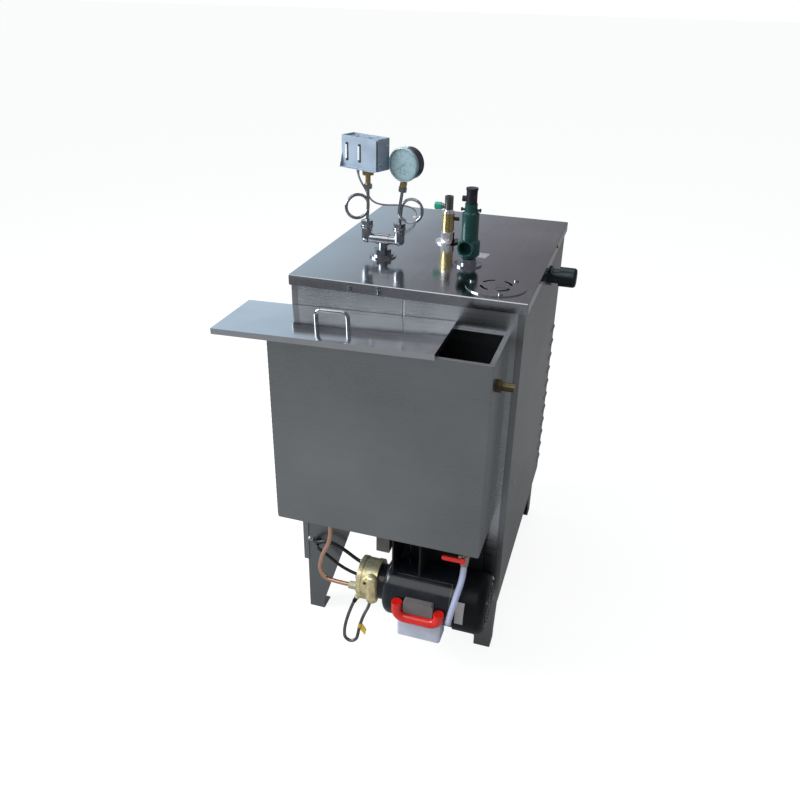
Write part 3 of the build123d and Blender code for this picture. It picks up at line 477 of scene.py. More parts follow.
def cap_paint(name):
    """Black cap of the safety valve with a worn red dab on its right side."""
    nodes = surface(name)
    patches = nodes.noise(90.0, 4.0)
    right = nodes.span(nodes.along(0), 0.0, 1.0, at(80, 0, 0).x, at(87, 0, 0).x)
    height = nodes.along(2)
    above = nodes.span(height, 0, 1, 0.928, 0.933)
    below = nodes.span(height, 1, 0, 0.940, 0.945)
    band = nodes.maths("MULTIPLY", above, below)
    worn = nodes.maths("MULTIPLY", nodes.maths("MULTIPLY", right, band), nodes.span(patches, 0.2, 0.8))
    nodes.put("Base Color", nodes.blend(worn, (0.010, 0.014, 0.018), (0.16, 0.035, 0.045)))
    nodes.put("Roughness", nodes.span(patches, 0.34, 0.48))
    nodes.put("Specular IOR Level", 0.3)
    nodes.bump(nodes.noise(300.0, 2.0), 0.05, 0.0003)
    return nodes.owner


def cast_brass(name):
    """Cast pump body: dull olive brass, brighter towards the front as a painted highlight, and grime in the
    cast.
    """
    nodes = surface(name)
    brass = (1.0, 0.87, 0.52)
    olive = (0.68, 0.66, 0.46)
    # Brighter brass towards the front: a painted highlight on the face that looks to the lamps.
    front = nodes.span(nodes.along(1), 1.0, 0.0, at(0, -100, 0).y, at(0, -72, 0).y)
    grime = nodes.noise(70.0, 6.0, roughness=0.65)
    dirt = nodes.ramp(grime, [(0.28, (0.55, 0.48, 0.38)), (0.60, (1.0, 1.0, 1.0))])
    nodes.put("Base Color", nodes.blend(1.0, nodes.blend(front, olive, brass), dirt, "MULTIPLY"))
    nodes.put("Metallic", 0.7)
    nodes.put("Roughness", nodes.span(grime, 0.46, 0.24))
    nodes.bump(nodes.noise(380.0, 4.0), 0.25, 0.0005)
    return nodes.owner


def bracket_paint(name):
    """Motor bracket: bare dull steel on its block, and black on the hangers as painted shade behind the
    motor.
    """
    nodes = surface(name)
    dust = nodes.noise(30.0, 5.0, roughness=0.6)
    # Right of the block the bracket is black: painted shade behind the motor.
    shaded_hangers = nodes.maths("GREATER_THAN", nodes.along(0), at(11, 0, 0).x)
    bare = nodes.ramp(dust, [(0.3, (0.16, 0.15, 0.13)), (0.7, (0.22, 0.21, 0.19))])
    nodes.put("Base Color", nodes.blend(shaded_hangers, bare, (0.008, 0.009, 0.011)))
    nodes.put("Metallic", nodes.maths("SUBTRACT", 0.7, nodes.maths("MULTIPLY", shaded_hangers, 0.7)))
    nodes.put("Roughness", nodes.span(dust, 0.40, 0.55))
    nodes.bump(nodes.noise(300.0, 2.0), 0.05, 0.0003)
    return nodes.owner


def clear_plastic(name, colour, alpha, roughness):
    """Thin clear plastic with faint cloudiness."""
    nodes = surface(name)
    cloud = nodes.noise(40.0, 2.0)
    nodes.put("Base Color", nodes.ramp(cloud, [(0.3, shade(colour, 0.92)), (0.7, colour)]))
    nodes.put("Roughness", nodes.span(cloud, roughness, roughness + 0.08))
    nodes.put("Alpha", alpha)
    nodes.put("Coat Weight", 0.6)
    nodes.put("Coat Roughness", 0.04)
    return nodes.owner


def finishes():
    """Each finish: its maker, and the maker's values, which start with the colour."""
    c = colours()
    steel = tuple(c.steel)
    return {
        # One brushed steel in lit and shaded copies: the factors are painted light on the front panel, lid
        # and cover, and painted shade on the tank, rear panel, side panels, floor, drum, legs and frame.
        "steel_upright": (brushed_steel, shade(steel, 0.92), 0, 0.30),
        "steel_panel": (brushed_steel, shade(steel, 1.55), 0, 0.28),
        "steel_lid": (brushed_steel, shade(steel, 1.65), 0, 0.12, 0.05),
        "steel_side": (brushed_steel, shade(steel, 0.85), 1, 0.32),
        "steel_cover": (brushed_steel, shade(steel, 1.12), 1, 0.12, 0.06),
        "steel_leg": (brushed_steel, shade(steel, 0.72), 2, 0.40),
        "bright_tube": (machined, tuple(c.bright_steel), 0.10, 0.05),
        "screw_steel": (machined, (0.66, 0.66, 0.66), 0.2, 0.1),
        "brass": (machined, tuple(c.brass), 0.24, 0.14),
        "copper": (machined, tuple(c.copper), 0.17, 0.10, (0.36, 0.20, 0.15)),
        # Pale colour of the motor's edge line: a painted highlight.
        "motor_line": (machined, (0.17, 0.16, 0.14), 0.45, 0.1),
        "gauge_steel": (machined, (0.12, 0.14, 0.16), 0.24, 0.05),
        "tarnished": (machined, (0.16, 0.13, 0.07), 0.36, 0.10),
        "dark_fitting": (machined, (0.050, 0.062, 0.067), 0.32, 0.08),
        "zinc": (machined, (0.85, 0.85, 0.86), 0.34, 0.06),
        "nickel": (machined, (0.55, 0.50, 0.44), 0.26, 0.08),
        "braid_steel": (machined, (0.30, 0.31, 0.30), 0.38, 0.1, (0.14, 0.14, 0.14)),
        "steam_valve_metal": (steam_valve_metal,),
        "pump_brass": (cast_brass,),
        "bracket_paint": (bracket_paint,),
        "cap_black": (cap_paint,),
        "valve_green": (enamel, shade(tuple(c.teal), 0.75), 0.32, 0.6, 0.03, 0.2),
        "motor_enamel": (enamel, tuple(c.motor), 0.16, 0.35, 0.015, 0.30),
        "cowl_paint": (enamel, (0.003, 0.004, 0.005), 0.30, 0.0, 0.015, 0.15),
        # Black of the painted shade behind the motor.
        "bracket_black": (enamel, (0.008, 0.009, 0.011), 0.45, 0.0, 0.05, 0.3),
        "handle_green": (moulded, tuple(c.green), 0.34, 0.2),
        "black": (moulded, (0.012, 0.012, 0.014), 0.42),
        # Black for dark gaps, and for painted shade in the switch wells, the valve bore, the plug socket,
        # the cowl and the screw crosses.
        "slot_black": (moulded, (0.004, 0.004, 0.005), 0.6),
        "red": (moulded, tuple(c.red), 0.24, 0.4),
        "white": (moulded, (0.52, 0.54, 0.64), 0.4),
        # Grey for the white box's lid: painted shade under the motor.
        "grey": (moulded, (0.17, 0.15, 0.15), 0.5),
        "case_steel": (moulded, (0.285, 0.345, 0.43), 0.36, 0.0, 0.12),
        "bezel_steel": (moulded, (0.26, 0.38, 0.42), 0.30, 0.3, 0.3),
        "hatch_mark": (moulded, (0.020, 0.021, 0.026), 0.5),
        # Pale strip beside the front panel's seam: a painted highlight.
        "fold_light": (moulded, (0.66, 0.70, 0.74), 0.3, 0.0, 0.3),
        "tape": (moulded, (0.46, 0.44, 0.50), 0.45),
        "lead_black": (moulded, (0.010, 0.010, 0.012), 0.4),
        "cable_grey": (moulded, (0.40, 0.40, 0.42), 0.45),
        "dial": (moulded, tuple(c.dial), 0.5),
        "ink": (moulded, (0.02, 0.05, 0.06), 0.6),
        "dial_line": (moulded, (0.055, 0.10, 0.12), 0.6),
        "scale_white": (moulded, (0.62, 0.64, 0.68), 0.5),
        "hose_line": (moulded, (0.82, 0.86, 1.0), 0.4),
        "sticker": (moulded, (0.36, 0.33, 0.33), 0.5),
        "tag_yellow": (moulded, tuple(c.tag), 0.4),
        "wax_red": (moulded, (0.28, 0.05, 0.04), 0.5),
        "gauge_glass": (clear_plastic, (0.70, 0.86, 0.88), 0.16, 0.03),
        "hose_clear": (clear_plastic, (0.72, 0.76, 1.0), 0.40, 0.06),
    }


def finish(name):
    """Each finish is made once and found by its name."""
    found = bpy.data.materials.get(name)
    if found:
        return found
    maker, *values = finishes()[name]
    return maker(name, *values)


def frame_at(place, right=RIGHT, up=BACK):
    """A flat frame in millimetres: right and up lie in the surface and its third axis stands out of it."""
    right = Vector(right).normalized()
    up = Vector(up)
    up = (up - right * up.dot(right)).normalized()
    turn = Matrix((right, up, right.cross(up))).transposed().to_4x4()
    return Matrix.Translation(place) @ turn @ Matrix.Scale(MM, 4)


def axis_frame(place, axis):
    """A frame whose third axis is the given direction."""
    axis = Vector(axis).normalized()
    side = Vector(UP) if abs(axis.z) < 0.9 else Vector(RIGHT)
    right = side.cross(axis).normalized()
    return frame_at(place, right, axis.cross(right))


def polar(radius, angle, centre=(0, 0)):
    """A point at a distance and angle from a centre."""
    return (centre[0] + radius * math.cos(angle), centre[1] + radius * math.sin(angle))


def hexagon(radius, centre, start):
    """Corner points of a nut."""
    return [polar(radius, start + math.tau * step / 6, centre) for step in range(6)]


def walls(form, rings):
    """Joins each ring of points to the next, and a ring to a single point."""
    for low, high in zip(rings, rings[1:]):
        count = max(len(low), len(high))
        for step in range(count):
            ahead = (step + 1) % count
            corners = [low[place % len(low)] for place in (step, ahead)]
            corners += [high[place % len(high)] for place in (ahead, step)]
            form.faces.new(tuple(dict.fromkeys(corners)))


def caps(form, rings):
    """Closes the first and the last ring."""
    form.faces.new(list(reversed(rings[0])))
    form.faces.new(rings[-1])


def turned(form, profile, centre=(0, 0), segments=40):
    """Adds a form turned about the frame's third axis, from (radius, height) pairs."""
    rings = []
    for radius, height in profile:
        count = segments if radius > 1e-6 else 1
        angles = [math.tau * step / count for step in range(count)]
        rings.append([form.verts.new((*polar(radius, angle, centre), height)) for angle in angles])
    walls(form, rings)


def rounded(width, height, radius, centre=(0, 0), steps=4, turn=0.0):
    """Corner points of a rounded rectangle."""
    points = []
    for corner, (sx, sy) in enumerate(((1, 1), (-1, 1), (-1, -1), (1, -1))):
        for step in range(steps + 1):
            angle = math.pi / 2 * (corner + step / steps)
            x = sx * (width / 2 - radius) + radius * math.cos(angle)
            y = sy * (height / 2 - radius) + radius * math.sin(angle)
            points.append((
                centre[0] + x * math.cos(turn) - y * math.sin(turn),
                centre[1] + x * math.sin(turn) + y * math.cos(turn),
            ))
    return points


def plate(form, outline, low, high, edge=0.0):
    """Adds a plate with that outline between two heights, its upper edge eased."""
    rings = [[form.verts.new((x, y, low)) for x, y in outline]]
    rings.append([form.verts.new((x, y, high - edge)) for x, y in outline])
    if edge:
        middle_x = sum(x for x, _ in outline) / len(outline)
        middle_y = sum(y for _, y in outline) / len(outline)
        inner = []
        for x, y in outline:
            reach = math.hypot(x - middle_x, y - middle_y)
            keep = max(0.0, (reach - edge) / reach)
            place = (middle_x + (x - middle_x) * keep, middle_y + (y - middle_y) * keep, high)
            inner.append(form.verts.new(place))
        rings.append(inner)
    caps(form, rings)
    walls(form, rings)


def merge(target, source, place):
    """Adds one form to another, carried to its place."""
    source.transform(place)
    mesh = bpy.data.meshes.new("merge")
    source.to_mesh(mesh)
    source.free()
    target.from_mesh(mesh)
    bpy.data.meshes.remove(mesh)


def piece_of(name, form, place, material, sharp=35):
    """Turns a form into a piece that rides on the boiler."""
    form.transform(place)
    bmesh.ops.recalc_face_normals(form, faces=form.faces)
    limit = math.radians(sharp)
    for face in form.faces:
        face.smooth = True
    for edge in form.edges:
        edge.smooth = len(edge.link_faces) == 2 and edge.calc_face_angle(0.0) < limit
    mesh = bpy.data.meshes.new(name)
    form.to_mesh(mesh)
    form.free()
    mesh.materials.append(finish(material))
    piece = bpy.data.objects.new(name, mesh)
    bpy.context.scene.collection.objects.link(piece)
    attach(piece, BODY)
    return piece


def turned_piece(name, profile, place, material, segments=40, centre=(0, 0), sharp=35):
    """A piece that is one turned form."""
    form = bmesh.new()
    turned(form, profile, centre, segments)
    return piece_of(name, form, place, material, sharp)


def plate_piece(name, outline, low, high, edge, place, material):
    """A piece that is one plate."""
    form = bmesh.new()
    plate(form, outline, low, high, edge)
    return piece_of(name, form, place, material)


def route_curve(name, points, diameter):
    """A smooth curve through the route: its points are the given control points."""
    curve = bpy.data.curves.new(name, "CURVE")
    curve.dimensions = "3D"
    spline = curve.splines.new("NURBS")
    spline.points.add(len(points) - 1)
    for point, place in zip(spline.points, points):
        point.co = (*place, 1)
    spline.order_u = 3
    spline.use_endpoint_u = True
    spline.resolution_u = 24
    curve.bevel_depth = diameter / 2
    curve.bevel_resolution = 6
    curve.use_fill_caps = diameter > 0
    piece = bpy.data.objects.new(name, curve)
    bpy.context.scene.collection.objects.link(piece)
    return piece


def line_of(route, step):
    """The smooth line of a route, read from its own spline, as points at an even spacing."""
    guide = route_curve("guide", [at(*point) for point in route], 0)
    bpy.context.view_layer.update()
    mesh = bpy.data.meshes.new_from_object(guide)
    line = [vertex.co.copy() for vertex in mesh.vertices]
    curve = guide.data
    bpy.data.objects.remove(guide)
    bpy.data.curves.remove(curve)
    bpy.data.meshes.remove(mesh)
    found = [line[0]]
    spare = step
    for low, high in zip(line, line[1:]):
        run = (high - low).length
        used = 0.0
        while run - used >= spare:
            used += spare
            found.append(low.lerp(high, used / run))
            spare = step
        spare -= run - used
    found.append(line[-1])
    return found


def even_width(radius):
    """A sleeve's radius that is the same all along, given in millimetres."""
    return lambda travelled, angle: radius * MM


def sleeve(form, line, radius, sides=24):
    """Adds a tube along a line: radius takes the distance along it and the angle round it."""
    heading = (line[1] - line[0]).normalized()
    side = heading.orthogonal().normalized()
    rings = []
    travelled = 0.0
    for index, place in enumerate(line):
        behind = line[max(index - 1, 0)]
        ahead = line[min(index + 1, len(line) - 1)]
        travelled += (place - behind).length
        now = (ahead - behind).normalized()
        side = (side - now * side.dot(now)).normalized()
        other = now.cross(side)
        ring = []
        for step in range(sides):
            angle = math.tau * step / sides
            reach = radius(travelled, angle)
            ring.append(form.verts.new(place + (side * math.cos(angle) + other * math.sin(angle)) * reach))
        rings.append(ring)
    walls(form, rings)
    return rings


def closed_sleeve(form, line, radius, sides=24):
    """Adds a tube along a line, closed at both ends."""
    caps(form, sleeve(form, line, radius, sides))


def sleeve_piece(name, line, radius, material, sides=24, sharp=35):
    """A piece that is one closed tube along a line."""
    form = bmesh.new()
    closed_sleeve(form, line, radius, sides)
    return piece_of(name, form, IN_PLACE, material, sharp)


def domed(form, centre, radius):
    """A domed screw head with a recess in its middle."""
    height = radius * 0.55
    profile = [(0, 0), (radius, 0), (radius, height * 0.25)]
    for step in range(1, 5):
        angle = math.pi / 2 * step / 5
        profile.append((radius * math.cos(angle), height * (0.25 + 0.75 * math.sin(angle))))
    profile.append((radius * 0.22, height * 0.98))
    profile.append((radius * 0.16, height * 0.62))
    profile.append((0, height * 0.55))
    turned(form, profile, centre, 28)


class BOILER_OT_stage(bpy.types.Operator):
    """Floor, backdrop, soft lamps and the camera."""

    bl_idname = "boiler.stage"
    bl_label = "Stage"

    def execute(self, context):
        self.world(context)
        self.floor(context)
        self.lamps(context)
        self.camera(context)
        context.scene.view_settings.view_transform = "Standard"
        return {"FINISHED"}

    def seen(self, nodes):
        """Camera, glossy and transmission rays see the backdrop; the glossy ones are also told apart."""
        path = nodes.add("ShaderNodeLightPath").outputs
        value = path["Is Camera Ray"]
        for other in ("Is Glossy Ray", "Is Transmission Ray"):
            value = nodes.maths("MAXIMUM", value, path[other])
        return value, path["Is Glossy Ray"]

    def share(self, nodes, heading, low, high):
        """How far a direction leans towards the heading, from 0 at low to 1 at high."""
        lean = nodes.add("ShaderNodeVectorMath", operation="DOT_PRODUCT")
        lean.inputs[1].default_value = heading
        nodes.feed(lean.inputs[0], nodes.coordinates["Generated"])
        return nodes.span(lean.outputs["Value"], 0.0, 1.0, low, high)

    def air(self, nodes):
        """What metal finds in the air: light low by the window, dark overhead and behind the camera."""
        dark = studio().shaded
        tones = (
            (0.0, shade((1.02, 0.98, 1.06), dark)),
            (0.40, shade((1.03, 1.0, 1.10), dark * 1.40)),
            (0.62, (0.46, 0.50, 0.56)),
            (0.80, (0.63, 0.75, 0.86)),
            (1.0, (0.68, 0.84, 0.98)),
        )
        light = nodes.ramp(self.share(nodes, (-1, 0, -1), -0.20, 0.09), tones)
        return nodes.blend(self.share(nodes, BACK, -0.35, 0.10), (0.30, 0.30, 0.32), light)

    def world(self, context):
        """White all round, with a shaded side that metal finds away from the window."""
        world = bpy.data.worlds.new("studio_air")
        context.scene.world = world
        nodes = Nodes(world)
        sky = nodes.tree.nodes["Background"]
        sky.inputs["Color"].default_value = (0.90, 0.95, 1.0, 1)
        sky.inputs["Strength"].default_value = studio().sky
        seen, glossy = self.seen(nodes)
        glow = nodes.add("ShaderNodeBackground")
        nodes.feed(glow.inputs["Color"], nodes.blend(glossy, (1, 1, 1), self.air(nodes)))
        nodes.show("World Output", seen, sky.outputs[0], glow.outputs[0])

    def floor(self, context):
        """A white floor that keeps the object's soft shadow."""
        mesh = bpy.data.meshes.new("floor")
        half = studio().floor_half
        corners = [(-half, -half, 0), (half, -half, 0), (half, half, 0), (-half, half, 0)]
        mesh.from_pydata(corners, [], [(0, 1, 2, 3)])
        floor = bpy.data.objects.new("floor", mesh)
        context.scene.collection.objects.link(floor)
        nodes = surface("floor_paint")
        nodes.put("Base Color", (0.80, 0.80, 0.80))
        nodes.put("Roughness", 0.9)
        seen, glossy = self.seen(nodes)
        shadowed = nodes.add("ShaderNodeBsdfDiffuse")
        nodes.feed(shadowed.inputs["Color"], (0.22, 0.22, 0.22))
        glow = nodes.add("ShaderNodeEmission")
        nodes.feed(glow.inputs["Strength"], nodes.span(glossy, 0.88, studio().floor_gloss, 0.0, 1.0))
        both = nodes.add("ShaderNodeAddShader")
        nodes.feed(both.inputs[0], shadowed.outputs[0])
        nodes.feed(both.inputs[1], glow.outputs[0])
        nodes.show("Material Output", seen, nodes.shader.outputs[0], both.outputs[0])
        mesh.materials.append(nodes.owner)

    def lamps(self, context):
        for name, place, width, power, tint in LAMPS:
            lamp = bpy.data.lights.new(name, "AREA")
            lamp.size = width
            lamp.energy = power
            lamp.color = tint
            holder = bpy.data.objects.new(name, lamp)
            holder.location = at(*place)
            aim = at(*LAMP_AIM) - holder.location
            holder.rotation_euler = aim.to_track_quat("-Z", "Y").to_euler()
            context.scene.collection.objects.link(holder)

    def camera(self, context):
        s = studio()
        camera = bpy.data.cameras.new("camera")
        camera.lens = s.lens
        camera.sensor_width = 36
        holder = bpy.data.objects.new("camera", camera)
        level = Matrix.Rotation(s.azimuth, 4, "Z") @ Matrix.Rotation(math.pi / 2 - s.elevation, 4, "X")
        turned_view = level @ Matrix.Rotation(s.roll, 4, "Z")
        holder.matrix_world = Matrix.Translation(at(*s.camera_place)) @ turned_view
        context.scene.collection.objects.link(holder)
        context.scene.camera = holder


class BOILER_OT_cords(bpy.types.Operator):
    """Switch cable, motor leads, braided hose and clear drain hose."""

    bl_idname = "boiler.cords"
    bl_label = "Hoses and leads"

    def execute(self, context):
        for values in PLAIN_CORDS:
            self.plain(*values)
        self.braided()
        self.clear()
        return {"FINISHED"}

    def plain(self, name, node, route, diameter, length, material, slot, stiffness, boot, at_far_end):
        """A plain tube with a boot on one of its ends."""
        extras = [self.boot(list(reversed(route)) if at_far_end else route, slot, *boot)]
        points = [at(*point) for point in route]
        cord = route_curve(name, points, diameter * MM)
        cord.data.materials.append(finish(material))
        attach(cord, BODY)
        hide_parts(node)

    def boot(self, route, slot, name, reach, wide, narrow, material):
        """A tapered, grooved sleeve over the first stretch of a cord."""
        def radius(travelled, angle):
            share = min(1.0, travelled / (reach * MM))
            groove = 0.35 if int(travelled / MM) % 4 == 3 else 0.0
            return (wide + (narrow - wide) * share - groove) * MM

        return sleeve_piece(name, line_of(route, 1.0 * MM)[:reach], radius, material)

    def braided(self):
        """Steel braid with its strands crossing, on the smooth line of the route."""
        line = line_of(BRAIDED_HOSE, BRAID_STEP)
        strands = sizes().strands
        pitch = sizes().braid_pitch * MM

        def radius(travelled, angle):
            turn = math.tau * travelled / pitch
            one = abs(math.sin((angle + turn) * strands / 2))
            other = abs(math.sin((angle - turn) * strands / 2))
            return (3.1 + 0.4 * max(one, other) ** 0.7) * MM

        hose = sleeve_piece("braid_hose", line, radius, "braid_steel", 48, 80)
        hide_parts("braided_hose")
        for name, ordered, steps in (("crimp_front", line, 18), ("crimp_back", list(reversed(line)), 12)):
            sleeve_piece(name, ordered[:steps], even_width(4.6), "dark_fitting")

    def clear(self):
        """A clear hose with its bore open at the lower end, and a pale thread of light down its middle."""
        line = line_of(DRAIN_HOSE, 2.0 * MM)
        form = bmesh.new()
        outer = sleeve(form, line, even_width(6.4), 36)
        inner = sleeve(form, line, even_width(4.4), 36)
        for end in (0, -1):
            walls(form, [outer[end], inner[end]])
        hose = piece_of("clear_hose", form, IN_PLACE, "hose_clear", 60)
        core = sleeve_piece("hose_core", line[1:-1], even_width(1.5), "hose_line", 12, 60)
        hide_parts("drain_hose")


class BOILER_OT_finishes(bpy.types.Operator):
    """Gives every carried-over piece its finish."""

    bl_idname = "boiler.finishes"
    bl_label = "Finishes"

    def execute(self, context):
        for material_name, members in FINISH_OF.items():
            for node in members:
                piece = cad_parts[node]
                piece.data.materials.clear()
                piece.data.materials.append(finish(material_name))
        return {"FINISHED"}


class BOILER_OT_gauge(bpy.types.Operator):
    """Dial, scale, numbers, pointer, glass and bezel of the pressure gauge."""

    bl_idname = "boiler.gauge"
    bl_label = "Gauge"

    # The scale starts low on the left and turns clockwise, in degrees
    start = 225
    sweep = 270
    scale_reach = 24.4

    def execute(self, context):
        self.face = frame_at(at(*GAUGE_CENTRE), GAUGE_UP.cross(GAUGE_OUT), GAUGE_UP)
        dial = [(0, 10.6), (26.6, 10.6), (27.4, 10.9), (27.4, 11.3), (26.6, 11.4), (0, 11.4)]
        turned_piece("gauge_dial", dial, self.face, "dial", 64)
        self.scale()
        self.numbers(context)
        self.pointer()
        self.glass()
        self.bezel()
        return {"FINISHED"}

    def scale(self):
        """Fifty divisions, every fifth one longer, and the line that they stand on."""
        divisions = 50
        reach = self.scale_reach
        form = bmesh.new()
        for step in range(divisions + 1):
            angle = math.radians(self.start - self.sweep * step / divisions)
            inner, width = (19.6, 0.9) if step % 5 == 0 else (22.0, 0.4)
            centre = polar((inner + reach) / 2, angle)
            plate(form, rounded(reach - inner, width, 0.12, centre, 2, angle), 11.3, 11.55)
        line = [(reach, 11.35), (reach, 11.55), (reach + 0.5, 11.55), (reach + 0.5, 11.35)]
        turned(form, line, segments=90)
        piece_of("gauge_scale", form, self.face, "dial_line")

    def digits(self, context, form, body, size, place):
        """Adds raised digits centred at a point of the dial."""
        text = bpy.data.curves.new("digits", "FONT")
        text.body = body
        text.size = size
        text.align_x = "CENTER"
        text.align_y = "CENTER"
        text.extrude = 0.08
        holder = bpy.data.objects.new("digits", text)
        context.scene.collection.objects.link(holder)
        holder.location = (*place, 11.5)
        context.view_layer.update()
        mesh = bpy.data.meshes.new_from_object(holder)
        mesh.transform(holder.matrix_world)
        form.from_mesh(mesh)
        bpy.data.objects.remove(holder)
        bpy.data.curves.remove(text)
        bpy.data.meshes.remove(mesh)

    def numbers(self, context):
        """Generic numbers from 0 to 10 round the dial, and the accuracy class near its foot."""
        form = bmesh.new()
        for value in range(0, 11, 2):
            angle = math.radians(self.start - self.sweep / 10 * value)
            self.digits(context, form, str(value), 7.4, polar(15.6, angle))
        piece_of("gauge_numbers", form, self.face, "dial_line")
        form = bmesh.new()
        self.digits(context, form, "2.5", 13.0, (0.0, -13.5))
        piece_of("gauge_class", form, self.face, "ink")

    def pointer(self):
        """Rests at zero, with its hub and tail."""
        angle = math.radians(self.start)
        along = polar(1, angle)
        across = (-along[1], along[0])
        outline = []
        for reach, half in ((-6.5, 1.0), (-6.5, -1.0), (0, -0.7), (20.0, -0.2), (20.0, 0.2), (0, 0.7)):
            outline.append((along[0] * reach + across[0] * half, along[1] * reach + across[1] * half))
        form = bmesh.new()
        plate(form, outline, 12.0, 12.4)
        turned(form, [(0, 11.4), (2.0, 11.4), (2.0, 12.5), (1.5, 12.8), (0, 12.9)], segments=28)
        piece_of("gauge_pointer", form, self.face, "dial_line")

    def glass(self):
        """A glass that swells a little towards its middle."""
        dome = [(0, 13.4), (27.9, 13.0), (27.9, 13.5)]
        for step in range(6):
            share = 1 - step / 6
            dome.append((27.4 * share, 14.1 + 0.5 * (1 - share * share)))
        dome.append((0, 14.7))
        turned_piece("gauge_glass", dome, self.face, "gauge_glass", 64)

    def bezel(self):
        """The rolled ring round the glass, and the pale plug in the crown of the case."""
        ring = [
            (28.0, 13.0), (28.0, 14.3), (28.8, 15.0), (30.0, 14.9), (31.2, 14.0), (31.4, 12.6), (31.2, 9.0),
        ]
        skirt = [(31.2, 9.0), (31.4, 8.6), (31.0, 8.0)]
        form = bmesh.new()
        for profile in (ring, skirt):
            turned(form, profile, segments=72)
        piece_of("gauge_bezel", form, self.face, "bezel_steel")
        right, _, out, _ = self.face.col
        crown = frame_at(self.face @ Vector((0, 30.4, 9.5)), right.xyz, out.xyz * -1)
        plate_piece("gauge_plug", rounded(9, 5, 1.2), -3, 3.2, 0.8, crown, "scale_white")


class BOILER_OT_switch(bpy.types.Operator):
    """Windows, scales, spindles and screws of the pressure switch."""

    bl_idname = "boiler.switch"
    bl_label = "Pressure switch"

    def execute(self, context):
        self.foot = at(*SWITCH_FOOT)
        self.front = frame_at(self.foot + SWITCH_OUT * 18.2 * MM, SWITCH_RIGHT, UP)
        self.windows()
        self.spindles()
        self.side()
        return {"FINISHED"}

    def windows(self):
        """Each window is a black well, painted shade in its recess, half covered by a scale strip with its
        ticks, the strip's pale colour a painted highlight on the window's left.
        """
        wells = bmesh.new()
        strips = bmesh.new()
        marks = bmesh.new()
        for middle in (-31, 0):
            plate(wells, rounded(7.2, 34, 2.2, (middle + 0.5, 29)), -1.4, 0.06)
            plate(strips, rounded(4.4, 25, 0.6, (middle - 1.9, 29)), 0, 0.5, 0.15)
            for step in range(8):
                width = 1.8 if step % 2 == 0 else 1.1
                plate(marks, rounded(width, 0.3, 0.1, (middle - 0.9, 19 + step * 2.9), 1), 0.3, 0.6)
        # Black wells: painted shade in the windows; pale strips: scales with ticks whose pale colour is a
        # painted highlight.
        piece_of("window_wells", wells, self.front, "slot_black")
        piece_of("window_scale_highlights", strips, self.front, "scale_white")
        piece_of("window_pointers", marks, self.front, "ink")

    def spindles(self):
        """Two adjusting spindles with their hexagons, in the tray on top."""
        top = frame_at(self.foot + Vector((0, 0, 58 * MM)), SWITCH_RIGHT, Vector(UP).cross(SWITCH_RIGHT))
        profile = [(0, -4), (5.0, -4), (5.0, -1.6), (4.4, -1.0), (1.2, -1.0), (1.2, -1.5), (0, -1.5)]
        form = bmesh.new()
        for middle in (-24, 8):
            turned(form, profile, (middle, 0))
            plate(form, hexagon(6.2, (middle, 0), 0.3), -4.2, -3.0, 0.3)
        piece_of("switch_spindles", form, top, "screw_steel")

    def side(self):
        """Screws on the right side, and the dark gap along the front plate's edge."""
        gap = rounded(2.0, 54, 0.4, (42.4, 28))
        plate_piece("switch_gap", gap, -1.3, 0.1, 0, self.front, "slot_black")
        form = bmesh.new()
        for centre in ((-9, 12), (9, 44)):
            domed(form, centre, 2.6)
        place = frame_at(self.foot + SWITCH_RIGHT * 44 * MM, SWITCH_OUT * -1, UP)
        piece_of("switch_screws", form, place, "screw_steel")


